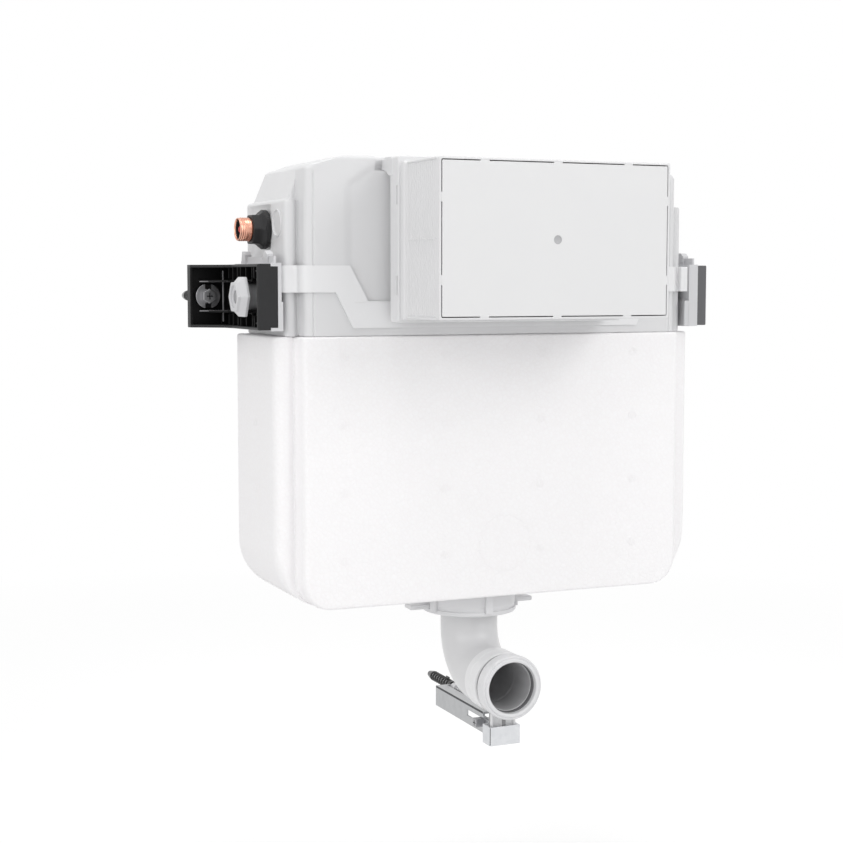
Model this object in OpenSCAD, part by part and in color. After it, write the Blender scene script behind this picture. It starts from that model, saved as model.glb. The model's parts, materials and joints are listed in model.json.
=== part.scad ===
// Concealed toilet cistern for building into a wall, operated from the front.
// Blow-moulded tank in a foam jacket, hung on two wall brackets, with its fill
// valve, flush valve, access box and flush bend.
// Frame: X to the viewer's right, Y towards the wall, Z up. The origin lies on
// the wall's face, midway between the two wall fixings.

/* [Tank] */
// Width over the two side lobes
tank_w = 400; // [390:1:430]
// Depth from the tank's back to the shoulders beside its raised front
tank_d = 115; // [112:1:130]
// How far the raised front stands before the shoulders
front_step = 14; // [13:0.5:18]
// How far the raised front lies in from each side of the tank
front_inset = 11.5; // [10:0.5:16]
// Gap between the tank's back and the wall
back_gap = 2; // [1:0.5:5]
// Height of the crown above the wall fixings
crown_h = 123; // [120:1:140]
// Height of the crown's outer shoulders above the wall fixings
shoulder_h = 114; // [112:1:118]
// Height of the side lobes above the inlet's axis
lobe_over = 25.3; // [22.3:0.1:35.3]
// Depth of the jacket's rim below the wall fixings
rim_drop = 34.7; // [33:0.5:40]
// Depth of the tank's underside below the wall fixings
floor_drop = 258; // [250:1:300]
// Thickness of the tank's wall
tank_t = 3; // [2:0.25:4]
// How far the tank is drawn in at its sides below the rim
low_side_in = 8; // [7:0.5:12]
// How far the tank is drawn in at its front below the rim
low_front_in = 16.5; // [15:0.5:20]
// How far the tank is drawn in at its back below the rim
low_back_in = 8; // [6:0.5:10]

/* [Foam jacket] */
// Thickness of the jacket's sides and front
jacket_t = 17.8; // [14:0.2:22]
// Thickness of the jacket's back
jacket_back_t = 8.5; // [6:0.5:9]
// Thickness of the jacket's bottom
jacket_floor_t = 18; // [14:0.5:26]
// Gap between the jacket and the tank
jacket_fit = 0.4; // [0.2:0.1:0.6]
// How far the jacket's raised front lies in from each of its sides
jacket_front_inset = 20.8; // [16:0.2:24]
// Radius of the jacket's bottom corners at its sides
jacket_side_r = 50; // [40:1:60]
// Radius of the bottom corners of the jacket's raised front
jacket_front_r = 25; // [20:1:32]

/* [Access box] */
// Width of the box
box_w = 219; // [214:1:230]
// Height of the box's top above the wall fixings
box_top = 115.6; // [114:0.2:120]
// Depth of the box's underside below the wall fixings
box_drop = 18.4; // [16:0.2:22]
// Distance from the wall to the box's front
box_reach = 244; // [230:1:300]
// Thickness of the box's walls
box_t = 2; // [1.5:0.25:3]
// Thickness of the cover
cover_t = 2.5; // [2:0.25:3]
// Width of the slot around the cover
cover_gap = 0.9; // [0.6:0.1:1.4]
// Width of each bridge across the slot
bridge_w = 6.4; // [4:0.2:8]
// Width of the opening's neck on the tank
neck_w = 190; // [184:1:196]
// Height of the neck's top above the wall fixings
tank_top = 110; // [108:0.5:111]
// Height of the neck's underside above the wall fixings
neck_low = 1; // [0:0.5:3]
// How far the neck stands out of the raised front
neck_l = 11.7; // [10:0.1:14]

/* [Carrier strap] */
// Height of the strap's band
strap_h = 23.5; // [20:0.5:25]
// Height of its upper run's lower edge above the wall fixings
strap_z = 3.9; // [3:0.1:5]
// How far its lower run lies under the upper one
strap_step = 31.2; // [30:0.2:32]
// Thickness of the band across the front
strap_t = 1.8; // [1.2:0.1:2.5]
// Thickness of its two side arms
strap_side_t = 4.5; // [3:0.1:5]
// Half the width of its lower run at the lower edge
strap_low_half = 142.5; // [135:0.5:150]

/* [Holders and brackets] */
// Height of each holder
holder_h = 59; // [58:0.5:62]
// Thickness of the holder's web behind the bracket's tongue
holder_t = 3.2; // [2:0.1:4]
// Thickness of the holder's upper and lower lips
holder_lip = 3; // [2.5:0.1:3.5]
// Distance from the wall to the brackets' front
bracket_reach = 123; // [119:0.5:130]
// Height of each bracket
bracket_h = 57.3; // [56:0.1:59]
// Width of the bracket's box across the wall
bracket_w = 11.6; // [10:0.1:14]
// Thickness of the bracket's walls and ribs
bracket_t = 2.5; // [2:0.1:3]
// Thickness of the tongue that slides in the holder
tongue_t = 6.6; // [5:0.1:8]
// Distance of each wall fixing from the side of its bracket's box
fixing_out = 11.9; // [11.7:0.1:20]
// Travel of the cistern away from the wall
depth_travel = 14; // [8:1:14]
// Diameter of the holder's threaded stud
stud_d = 20; // [16:0.5:21]
// Distance from the wall to the stud
stud_reach = 88; // [84:0.5:89]
// Width across the flats of the lock nut's end
lock_nut_af = 25.6; // [24:0.2:26]
// Diameter of the lock nut's flange
lock_nut_flange_d = 35; // [32:0.5:38]

/* [Wall screws] */
// Diameter of the wall plugs
plug_d = 10; // [8:0.5:10]
// Length of the wall plugs
plug_l = 73; // [50:1:80]
// Diameter of the screws' shanks
screw_d = 7; // [5:0.5:7]
// Width across the flats of the screws' heads
screw_af = 12; // [11:0.5:13]
// Diameter of the screws' washers
washer_d = 23; // [20:0.5:24]

/* [Inlet] */
// Major diameter of the inlet's pipe thread, G 1/2
inlet_d = 20.955; // [20.955:0.001:20.955]
// Bore of the inlet
inlet_bore = 15; // [12:0.5:16]
// Height of the inlet above the wall fixings
inlet_h = 59.7; // [58:0.1:62]
// Distance from the wall to the inlet's axis
inlet_reach = 65; // [62:0.5:66]
// Length of the thread beyond the tank's side
inlet_l = 27; // [24:0.5:32]
// Diameter of the lock nut's flange
inlet_flange_d = 35; // [33:0.5:36]

/* [Outlet] */
// Distance from the wall to the flush pipe's axis
outlet_reach = 67; // [66:0.5:68]
// Height of the outlet socket's axis below the tank's underside
socket_below = 97.6; // [94:0.2:102]
// Distance from the wall to the socket's mouth
socket_reach = 163; // [160:0.5:175]
// Outer diameter of the flush bend
bend_d = 54.6; // [52:0.2:56]
// Bore of the flush bend
bend_bore = 45; // [42:0.5:45]
// Radius of the bend's centre line
bend_r = 40; // [36:0.5:42]
// Bore of the socket, for a flush pipe of 45 mm
socket_bore = 45.8; // [45.8:0.1:46.2]
// Depth of the socket
socket_depth = 43; // [38:0.5:46]
// Outer diameter of the socket's ring
ring_d = 60; // [58.5:0.5:64]
// Outer diameter of the outlet's lock nut
outlet_nut_d = 92; // [88:1:94]

/* [Wall arm] */
// Height of the arm
arm_h = 20; // [18:0.5:22]
// Thickness of the arm's sheet
arm_t = 2; // [1.5:0.1:2.5]
// Length of the slotted tongue in front of the arm's full web
arm_tongue_l = 22.5; // [20:0.5:26]
// Width of the arm's upper flange
arm_flange = 11.4; // [9:0.2:14]
// Offset of the arm's web to the left of the pipe
arm_offset = 5.4; // [5:0.2:6]
// Offset of the arm's wall screw to the right of the pipe
arm_screw_x = 14; // [12:0.5:16]
// Depth of the arm's plug in the wall
arm_plug_l = 59; // [50:1:70]
// Distance of the clip's front behind the socket's mouth
clip_in = 16; // [15.5:0.5:20]
// Width of the clip around the bend's foot
clip_w = 30.6; // [30:0.2:34]
// Height of the clip
clip_h = 17.5; // [14:0.5:18]

/* [Valves] */
// Outer diameter of the overflow tube
tube_d = 36; // [32:0.5:38]
// Height of the overflow tube's top above the wall fixings
overflow_h = 12; // [0:1:16]
// Diameter of the flush valve's cage
cage_d = 80; // [76:1:84]
// Reach of the flush levers' lifting arms from their pin
lever_arm = 32; // [30:0.5:34]
// Distance from the flush pipe's axis to the fill valve's axis
fill_offset = 64; // [62:0.5:66]
// Diameter of the fill valve's float
float_d = 40; // [34:1:42]

/* [Hidden] */
$fn = 64;
// Reach of cuts that pass right through the object
far = 2 * tank_w;
// Overlap that joins two shapes of one piece, and the running gap between two pieces
e = 0.01;
fit = 0.2;
seat_gap = 0.1;

// Tank planes
half_w = tank_w / 2;
back_y = -back_gap;
shoulder_y = back_y - tank_d;
front_y = shoulder_y - front_step;
front_half = half_w - front_inset;
lobe_h = inlet_h + lobe_over;
back_r = 8;
shoulder_r = 6;
groove_r = 4;
front_r = 9;
ledge_in = 6.5;
flank_lean = 11;
flank_y = shoulder_y + 11;
crown_slope = 42;
crown_flat = 57;
crown_mid_h = crown_h - 1.7;
rim_z = -rim_drop;
tank_rim_z = rim_z + 0.5;
floor_z = -floor_drop;
low_half = half_w - low_side_in;
low_front_y = front_y + low_front_in;
low_back_y = back_y - low_back_in;
low_shoulder_y = low_front_y + front_step;
low_front_half = front_half - low_side_in - 12;
low_corner_r = 30;
low_back_r = 8;
low_shoulder_r = 8;
low_front_r = 8;
pocket_half = 145;
pocket_top = 105;
pocket_depth = 2;

// Jacket planes
jacket_half = low_half + jacket_fit + jacket_t;
jacket_front_y = low_front_y - jacket_fit - jacket_t;
jacket_shoulder_y = jacket_front_y + 15.8;
jacket_back_y = low_back_y + jacket_fit + jacket_back_t;
jacket_floor_z = floor_z - jacket_fit - jacket_floor_t;
jacket_front_half = jacket_half - jacket_front_inset;
jacket_outlet_r = outlet_nut_d / 2 + 3;

// Neck and access box
neck_half = neck_w / 2;
neck_y = front_y - neck_l;
box_half = box_w / 2;
box_low = -box_drop;
box_mid_z = (box_top + box_low) / 2;
box_back_y = neck_y - fit;
box_back_t = 3;
box_front_y = -box_reach;
latch_w = 17.5;
latch_h = 2.4;
cover_half = box_half - box_t - cover_gap;
cover_low = box_low + box_t + cover_gap;
cover_top = box_top - box_t - cover_gap;
skirt_in = 2;
skirt_t = 1.6;
skirt_l = 9;
bridge_x = 68;
bridge_z = 34;
dimple_d = 7.6;

// Strap, holders and brackets
strap_gap = 0.2;
strap_y = front_y - strap_gap;
strap_in = half_w + 0.3;
strap_out = strap_in + strap_side_t;
strap_arm_back = -14;
strap_diagonal = 16;
holder_x = strap_out + fit;
holder_front_y = -bracket_reach;
holder_back_y = -16;
holder_pad = 1.4;
tongue_x = holder_x + holder_t + fit;
tongue_out = tongue_x + tongue_t;
tongue_half = holder_h / 2 - holder_lip - 0.3;
bracket_out = tongue_out + bracket_w;
bracket_half = bracket_h / 2;
bracket_y = -bracket_reach;
bracket_foot_t = 8;
fixing_x = bracket_out + fixing_out;
bracket_foot_x = fixing_x + 17;
bracket_rib_z = 14;
bracket_web_t = 2.6;
stud_y = -stud_reach;
stud_r = stud_d / 2;
stud_slot_w = stud_d + 0.8;
stud_bore = 12;
collar_r = 12.75;
collar_l = 10.5;
collar_x = tongue_out + bracket_web_t + seat_gap;
nut_x = collar_x + collar_l + seat_gap;
nut_flange_t = 3;
nut_l = 9.8;
nut_recess_d = 17.5;
washer_t = 2;
washer_y = -bracket_foot_t - seat_gap - washer_t;
head_l = 5.5;
screw_in = 30;
plug_slot_l = 26;
plug_core_r = 2.2;

// Inlet
inlet_y = -inlet_reach;
inlet_r = inlet_d / 2;
inlet_x = -half_w - inlet_l;
wall_in_x = -half_w + tank_t;
inlet_thread_h = 1.16;
inlet_core_r = inlet_r - inlet_thread_h;
inlet_nut_l = 12;
inlet_flange_t = 3.2;
inlet_nut_x = -half_w - seat_gap - inlet_flange_t - inlet_nut_l;
gasket_t = 2;
inlet_collar_t = 3;
blank_y = inlet_y - 30.5;
blank_h = inlet_h + 6.3;
blank_r = 9.8;
blank_flange_r = 12.5;
blank_flange_t = 1.6;
blank_l = tank_t + 3;
inlet_collar_r = 17;
inlet_gasket_r = 16;
inlet_nut_af = 26;
strainer_in = 8;
strainer_l = 12;
strainer_end_t = 2;
strainer_wall = 1.4;
strainer_hole_r = 1.2;
strainer_hole_in = 3.6;

// Stop valve and hose
stop_x = wall_in_x + gasket_t + inlet_collar_t + seat_gap;
stop_l = 34;
stop_r = 12;
spindle_x = stop_x + 17;
bonnet_l = 14;
bonnet_r = 9;
spindle_r = 3.5;
stop_seat_half = 5;
stop_out_r = 4.5;
knob_r = 13;
knob_l = 12;
knob_grip_r = 2;
hose_r = 5.5;
hose_nut_l = 12;
hose_nut_af = 19;

// Flush valve
outlet_y = -outlet_reach;
floor_top_z = floor_z + tank_t;
seat_flange_z = floor_top_z + gasket_t + seat_gap;
seat_flange_t = 4;
seat_flange_r = 43;
spigot_r = 31;
spigot_bore_r = 23.5;
spigot_z = floor_z - 26;
lip_z = seat_flange_z + seat_flange_t;
lip_h = 4;
lip_r = 29;
lip_in_r = 26.5;
seal_z = lip_z + lip_h + seat_gap;
seal_t = 3.5;
seal_r = 33;
tube_r = tube_d / 2;
tube_t = 2.5;
cage_r = cage_d / 2;
cage_t = 3;
cage_top_z = lip_z + 96;
cage_bar_w = 11;
cage_ring_h = 6;
cage_play = 0.6;
guide_h = 12;
guide_t = 2.4;
half_float_h = 42;
half_float_z = 4;
pin_y = front_y + 27;
pin_z = 80;
pin_r = 2.5;
lever_w = 7;
full_x = -11;
half_x = 24;
hook_y = pin_y + lever_arm;
arm_top_z = pin_z + 3;
head_z = arm_top_z + 0.6;
head_t = 4;
half_rod_r = 3;
half_rod_x = half_x + lever_w / 2 + half_rod_r + 0.5;
half_float_r = 11.5;

// Bridge in the neck
frame_half = neck_half - tank_t - fit;
frame_low = neck_low + tank_t + fit;
frame_top = tank_top - tank_t - fit;
frame_y = neck_y + 0.5;
frame_back_y = front_y + 2;
frame_t = 3;
beam_z = pin_z + 8;
beam_h = 10;
shelf_z = 34;
shelf_t = 4;

// Fill valve
fill_x = -fill_offset;
fill_y = -62;
fill_stem_r = 8;
fill_head_r = 15;
fill_head_z = shelf_z + shelf_t + seat_gap;
fill_head_h = 26;
fill_low_z = -150;
float_r = float_d / 2;
float_low_z = -70;
float_h = 56;
float_skin = 2.5;
float_roof = 6;
float_ear_half = 4;
float_rod_y = fill_y - 24;
float_rod_r = 2;
lever_z = fill_head_z + fill_head_h + 7;
rod_top_z = lever_z + 6;
lever_tail = 17;

// Outlet
nut_r = outlet_nut_d / 2;
nut_top_z = floor_z - fit;
nut_low_z = nut_top_z - 41;
nut_lip_h = 6.8;
nut_foot_h = 2;
nut_foot_in = 5;
nut_band_h = 3;
nut_band_in = 1.5;
nut_rib_w = 7;
nut_rib_top = 8;
nut_lug_l = 18;
nut_lug_w = 14;
nut_lug_h = 4;
bend_or = bend_d / 2;
bend_ir = bend_bore / 2;
bend_seal_t = 3;
bend_flange_t = 5;
bend_top_z = spigot_z - bend_seal_t - 2 * seat_gap;
bend_flange_r = spigot_r - 0.2;
socket_z = floor_z - socket_below;
socket_y = -socket_reach;
bend_y = outlet_y - bend_r;
bend_z = socket_z + bend_r;
socket_r = socket_bore / 2;
ring_r = ring_d / 2;
ring_lip = 5;
ring_l = 15;
socket_seal_t = 5;
bend_end_y = socket_y + ring_lip + socket_seal_t + 2 * seat_gap;
clip_y = socket_y + clip_in;
clip_t = 2;
clip_z = socket_z - 39;
foot_w = 25;
foot_t = 3;
foot_y = clip_y + clip_t + 0.4;
foot_rib_l = 3.6;
foot_low_z = clip_z - 8;

// Wall arm
clip_l = 16;
arm_z = clip_z + 4.9;
web_x = -arm_offset;
arm_slot_z = clip_z - 4.2;
arm_slot_h = 6;
arm_tongue_h = 11;
arm_foot_w = arm_screw_x + 8 - web_x;
arm_screw_z = clip_z + 2;
clip_bolt_y = clip_y + 33;
clip_bolt_r = 2.5;
clip_head_w = 8;
clip_head_l = 9;
clip_tab_x = web_x - fit - clip_t;
arm_end = clip_bolt_y - depth_travel - arm_slot_h / 2 - 2.5;
arm_l = -arm_end - arm_tongue_l;
arm_slot_back = -arm_l + 37;
collar_front = -15;
spacer_front = -35;
arm_head_l = 4.5;

// Points of an arc about c, from angle a0 to a1 in n steps
function arc(c, r, a0, a1, n = 6) =
    [for (i = [0:n]) c + r * [cos(a0 + (a1 - a0) * i / n), sin(a0 + (a1 - a0) * i / n)]];
function mirrored(points) =
    concat(points, [for (i = [len(points) - 1:-1:0]) [-points[i].x, points[i].y]]);

// Plan of a body with a raised front: half width, back, shoulder and front planes,
// half width of the front, and the radii of its back, shoulder, groove and front
function stepped_plan(w, yb, ys, yf, f, rb, rs, rg, rf) = mirrored(concat(
    [[0, yb]],
    arc([w - rb, yb - rb], rb, 90, 0),
    arc([w - rs, ys + rs], rs, 0, -90),
    arc([f + rg, ys - rg], rg, 90, 180),
    arc([f - rf, yf + rf], rf, 0, -90)));

// Front view of a body with round lower corners
function tub_outline(w, low, top, r) =
    mirrored(concat([[0, low]], arc([w - r, low + r], r, -90, 0, 10), [[w, top]]));

module along_y(y0, y1) {
    translate([0, y1, 0])
    rotate([90, 0, 0])
    linear_extrude(y1 - y0)
    children();
}

module along_x(x0, x1) {
    translate([x0, 0, 0])
    rotate([90, 0, 90])
    linear_extrude(x1 - x0)
    children();
}

module block(low, high) {
    translate(low)
    cube(high - low);
}

module rod_x(x0, x1, y, z, r) {
    translate([x0, y, z])
    rotate([0, 90, 0])
    cylinder(r = r, h = x1 - x0);
}

module rod_y(x, y0, y1, z, r) {
    translate([x, y1, z])
    rotate([90, 0, 0])
    cylinder(r = r, h = y1 - y0);
}

module rod_z(x, y, z0, z1, r) {
    translate([x, y, z0])
    cylinder(r = r, h = z1 - z0);
}

module pipe_z(x, y, z0, z1, r_in, r_out) {
    translate([x, y, z0])
    difference() {
        cylinder(r = r_out, h = z1 - z0);
        translate([0, 0, -1])
        cylinder(r = r_in, h = z1 - z0 + 2);
    }
}

module both_sides() {
    children();
    mirror([1, 0, 0])
    children();
}

// Tank, drawn inset by t all round for its hollow
module upper_tank(t) {
    plan = stepped_plan(half_w - t, back_y - t, shoulder_y + t, front_y + t, front_half - t,
        back_r - t / 2, shoulder_r - t / 2, groove_r, front_r - t / 2);
    flank = mirrored([
        [0, rim_z],
        [half_w - t, rim_z],
        [half_w - t, lobe_h - 3 - t],
        [half_w - t - 3, lobe_h - t],
        [half_w - ledge_in - t, lobe_h + 1 - t],
        [half_w - ledge_in - flank_lean - t, shoulder_h - 2 - t],
        [half_w - ledge_in - flank_lean - 3 - t, shoulder_h - t],
        [half_w - crown_slope - t, crown_mid_h - t],
        [half_w - crown_flat - t, crown_h - t]]);
    crown = mirrored([
        [0, rim_z],
        [front_half - t, rim_z],
        [front_half - t, shoulder_h - 3 - t],
        [front_half - 3 - t, shoulder_h - t],
        [half_w - crown_slope - t, crown_mid_h - t],
        [half_w - crown_flat - t, crown_h - t]]);
    translate([0, 0, tank_rim_z + t])
    linear_extrude(lobe_h - 10 - tank_rim_z - 2 * t)
    polygon(plan);
    intersection() {
        translate([0, 0, lobe_h - 10 - t - e])
        linear_extrude(crown_h)
        polygon(plan);
        union() {
            along_y(flank_y, back_y)
            polygon(flank);
            along_y(front_y - 1, flank_y + e)
            polygon(crown);
        }
    }
}

module lower_plan(t) {
    polygon(stepped_plan(low_half - t, low_back_y - t, low_shoulder_y + t, low_front_y + t,
        low_front_half - t, low_back_r, low_shoulder_r, groove_r, low_front_r));
}

module lower_tank(t, top) {
    intersection() {
        translate([0, 0, floor_z + t])
        linear_extrude(top - floor_z - t)
        lower_plan(t);
        along_y(front_y, back_y)
        polygon(tub_outline(low_half - t, floor_z + t, top + 1, low_corner_r));
    }
}

module neck_hole() {
    block([-neck_half + tank_t, neck_y - 1, neck_low + tank_t],
        [neck_half - tank_t, front_y + 20, tank_top - tank_t]);
}

module tank_shell() {
    color([0.84, 0.84, 0.85])
    difference() {
        union() {
            upper_tank(0);
            lower_tank(0, tank_rim_z + e);
            block([-neck_half, neck_y, neck_low], [neck_half, front_y + 10, tank_top]);
        }
        upper_tank(tank_t);
        lower_tank(tank_t, tank_rim_z + tank_t + e);
        neck_hole();
        // Shallow pocket around the neck
        difference() {
            block([-pocket_half, front_y - 1, strap_z - strap_step + strap_h],
                [pocket_half, front_y + pocket_depth - 1, pocket_top]);
            block([-neck_half - e, front_y - 2, -far], [neck_half + e, front_y + 4, far]);
        }
        rod_x(-half_w - 1, wall_in_x + 1, inlet_y, inlet_h, inlet_r + 0.3);
        rod_x(-half_w - 1, wall_in_x + 1, blank_y, blank_h, blank_r + fit);
        rod_x(-wall_in_x - 1, half_w + 1, inlet_y, inlet_h, blank_r + fit);
        rod_z(0, outlet_y, floor_z - 1, floor_top_z + 1, spigot_r + 0.5);
    }
}

module insulation_jacket() {
    color([0.97, 0.96, 0.96])
    difference() {
        union() {
            intersection() {
                translate([0, 0, jacket_floor_z])
                linear_extrude(rim_z - jacket_floor_z)
                polygon(stepped_plan(jacket_half, jacket_back_y, jacket_shoulder_y,
                    jacket_front_y, jacket_front_half, 6, 8, 5, 7));
                union() {
                    along_y(jacket_shoulder_y - e, jacket_back_y)
                    polygon(tub_outline(jacket_half, jacket_floor_z, rim_z + 1, jacket_side_r));
                    along_y(jacket_front_y - 1, jacket_shoulder_y)
                    polygon(tub_outline(jacket_front_half, jacket_floor_z, rim_z + 1,
                        jacket_front_r));
                }
            }
        }
        lower_tank(-jacket_fit, rim_z + 1);
        rod_z(0, outlet_y, jacket_floor_z - 1, floor_z, jacket_outlet_r);
    }
}

module strap_outline() {
    low_z = strap_z - strap_step;
    in = strap_low_half;
    top_in = in - strap_diagonal + 2;
    out = front_half - groove_r + 3;
    polygon([
        [-out, strap_z], [-in - strap_diagonal, strap_z], [-in, low_z], [in, low_z],
        [in + strap_diagonal, strap_z], [out, strap_z], [out, strap_z + strap_h],
        [in + 3, strap_z + strap_h], [top_in, low_z + strap_h],
        [-top_in, low_z + strap_h], [-in - 3, strap_z + strap_h], [-out, strap_z + strap_h]]);
}

// The band follows the tank's plan at the raised front, the groove and the side
module strap_plan() {
    difference() {
        polygon(stepped_plan(strap_out, strap_arm_back, shoulder_y - strap_gap - strap_t - 1,
            strap_y - strap_t, front_half + strap_t, 1, 5, groove_r, front_r + strap_t));
        polygon(stepped_plan(strap_in, strap_arm_back + 5, shoulder_y - strap_gap,
            strap_y, front_half + strap_gap, 1, shoulder_r, groove_r, front_r));
    }
}

module carrier_strap() {
    color([0.83, 0.83, 0.84])
    union() {
        intersection() {
            along_y(strap_y - strap_t - 1, strap_y + 20)
            union() {
                strap_outline();
                for (side = [-1, 1])
                    translate([side > 0 ? front_half - 12 : -strap_out - 1, strap_z])
                    square([strap_out + 13 - front_half, strap_h]);
            }
            linear_extrude(far, center = true)
            strap_plan();
        }
        both_sides()
        block([strap_in, strap_y + 20 - e, strap_z], [strap_out, strap_arm_back, strap_z + strap_h]);
    }
}

// Snap hook on the holder's top, its nose towards the front
module holder_hook(y) {
    z = holder_h / 2 - e;
    along_x(tongue_out - 7, tongue_out - 1)
    polygon([[y - 9, z], [y + 3, z], [y, z + 11], [y - 5, z + 11], [y - 9, z + 8], [y - 9, z + 6],
        [y - 5, z + 6], [y - 5, z + 2], [y - 9, z + 2]]);
}

module holder_rib(y0, y1) {
    block([tongue_out - 5, y0, holder_h / 2 - e], [tongue_out - 3, y1, holder_h / 2 + 6]);
}

module holder(closed) {
    half = holder_h / 2;
    color([0.8, 0.8, 0.81])
    union() {
        difference() {
            union() {
                block([holder_x, holder_front_y, -half], [holder_x + holder_t, holder_back_y, half]);
                // Pad that rests beside the tank under the strap
                block([holder_x - holder_pad, holder_front_y, -half],
                    [holder_x + e, holder_back_y, strap_z - 8]);
                for (z = [-half, half - holder_lip])
                    block([holder_x, holder_front_y, z],
                        [tongue_out - 0.3, holder_back_y, z + holder_lip]);
                rod_x(holder_x, nut_x + nut_l - 2, stud_y, 0, stud_r);
            }
            rod_x(holder_x - 5, nut_x + nut_l, stud_y, 0, stud_bore / 2);
        }
        if (closed)
            block([holder_x, holder_front_y - 2.5, -half], [tongue_out - 0.3, holder_front_y - fit, half]);
        if (closed)
            for (z = [-half, half - holder_lip])
                block([holder_x, holder_front_y - fit - e, z],
                    [tongue_out - 0.3, holder_front_y + e, z + holder_lip]);
        holder_hook(-37);
        holder_hook(-100);
        holder_rib(-90, -46 - e);
        holder_rib(holder_front_y, -109 - e);
    }
}

module left_holder() {
    mirror([1, 0, 0])
    holder(false);
}

module right_holder() {
    holder(true);
}

module bracket_floor(z) {
    translate([0, 0, z])
    linear_extrude(bracket_t)
    polygon([
        [tongue_out, 0], [bracket_foot_x, 0], [bracket_foot_x, -bracket_foot_t - 2],
        [bracket_foot_x - 7, -bracket_foot_t - 6], [bracket_out + 3, -30],
        [bracket_out, -45], [bracket_out, bracket_y], [tongue_out, bracket_y]]);
}

module bracket() {
    color([0.09, 0.09, 0.1])
    difference() {
        union() {
            bracket_floor(-bracket_half);
            bracket_floor(bracket_half - bracket_t);
            // Web and tongue
            block([tongue_out - e, bracket_y, -bracket_half],
                [tongue_out + bracket_web_t, 0, bracket_half]);
            block([tongue_x, bracket_y, -tongue_half], [tongue_out, holder_back_y - 4, tongue_half]);
            // Front wall, and the foot on the wall with its outer rim
            block([tongue_out, bracket_y, -bracket_half], [bracket_out, bracket_y + 3, bracket_half]);
            block([tongue_out, -3, -bracket_half], [bracket_foot_x, 0, bracket_half]);
            block([bracket_foot_x - bracket_t, -bracket_foot_t - 2, -bracket_half],
                [bracket_foot_x, 0, bracket_half]);
            // Ribs beside the screw, and the boss under its washer
            for (z = [-bracket_rib_z - 0.8, bracket_rib_z - 0.8])
                translate([0, 0, z])
                linear_extrude(1.6)
                polygon([[tongue_out, 0], [bracket_foot_x - 10, 0], [bracket_foot_x - 10, -bracket_foot_t],
                    [bracket_out + 3, -28], [tongue_out, -46]]);
            rod_y(fixing_x, -bracket_foot_t, 0, 0, 11);
            for (y = [-26, -50, bracket_y + 14])
                block([tongue_out, y, -bracket_half], [tongue_out + 8, y + 1.6, -bracket_rib_z]);
            for (y = [-26, -50, bracket_y + 14])
                block([tongue_out, y, bracket_rib_z], [tongue_out + 8, y + 1.6, bracket_half]);
        }
        rod_y(fixing_x, -bracket_foot_t - 1, 1, 0, screw_d / 2 + 0.5);
        // Slot for the holder's stud, as long as the travel
        for (y = [stud_y, stud_y - depth_travel])
            rod_x(tongue_x - 1, tongue_out + bracket_web_t + 1, y, 0, stud_slot_w / 2);
        block([tongue_x - 1, stud_y - depth_travel, -stud_slot_w / 2],
            [tongue_out + bracket_web_t + 1, stud_y, stud_slot_w / 2]);
    }
}

module left_bracket() {
    mirror([1, 0, 0])
    bracket();
}

module right_bracket() {
    bracket();
}

module lock_nut() {
    color([0.82, 0.82, 0.83])
    difference() {
        union() {
            rod_x(nut_x, nut_x + nut_flange_t, stud_y, 0, lock_nut_flange_d / 2);
            translate([nut_x + nut_flange_t - e, stud_y, 0])
            rotate([0, 90, 0])
            cylinder(d1 = lock_nut_flange_d - 2, d2 = lock_nut_af / cos(30),
                h = nut_l - nut_flange_t, $fn = 6);
        }
        rod_x(nut_x - 1, nut_x + nut_l - 1.5, stud_y, 0, stud_r + 0.1);
        rod_x(nut_x + nut_l - 2, nut_x + nut_l + 1, stud_y, 0, nut_recess_d / 2);
    }
}

module left_lock_nut() {
    mirror([1, 0, 0])
    lock_nut();
}

module right_lock_nut() {
    lock_nut();
}

module lock_collars() {
    color([0.14, 0.14, 0.15])
    both_sides()
    difference() {
        rod_x(collar_x, collar_x + collar_l, stud_y, 0, collar_r);
        rod_x(collar_x - 1, collar_x + collar_l + 1, stud_y, 0, stud_r + fit);
    }
}

module hex_y(x, y0, y1, z, af) {
    translate([x, y1, z])
    rotate([90, 0, 0])
    cylinder(d = af / cos(30), h = y1 - y0, $fn = 6);
}

module wall_screws() {
    color([0.55, 0.55, 0.57])
    both_sides()
    difference() {
        union() {
            hex_y(fixing_x, washer_y - seat_gap - head_l, washer_y - seat_gap, 0, screw_af);
            rod_y(fixing_x, washer_y - seat_gap - e, screw_in - seat_gap, 0, screw_d / 2);
        }
        for (a = [0, 90])
            translate([fixing_x, washer_y - head_l, 0])
            rotate([0, a, 0])
            cube([5, 3, 1], center = true);
    }
}

module wall_washers() {
    color([0.5, 0.5, 0.52])
    both_sides()
    difference() {
        rod_y(fixing_x, washer_y, washer_y + washer_t, 0, washer_d / 2);
        rod_y(fixing_x, washer_y - 1, washer_y + washer_t + 1, 0, screw_d / 2 + fit);
    }
}

// Plug with a bore for the screw and a slot on each side of its solid core
module wall_plug(x, z, l) {
    difference() {
        rod_y(x, fit, l, z, plug_d / 2);
        rod_y(x, 0, screw_in, z, screw_d / 2 + 0.1);
        for (z0 = [z + plug_core_r, z - plug_core_r - plug_d])
            block([x - 0.6, screw_in + 4, z0], [x + 0.6, screw_in + 4 + plug_slot_l, z0 + plug_d]);
    }
}

module wall_plugs() {
    color([0.62, 0.62, 0.64])
    both_sides()
    wall_plug(fixing_x, 0, plug_l);
}

// Ear that reaches back from the box to the plane y
module box_ear(z, y) {
    along_x(box_half - box_t, box_half + 2)
    polygon([[box_back_y - 8, z], [y, z], [y, z - 4], [y - 3.7, z - 6], [box_back_y + 2, z - 12],
        [box_back_y - 8, z - 12]]);
}

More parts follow.
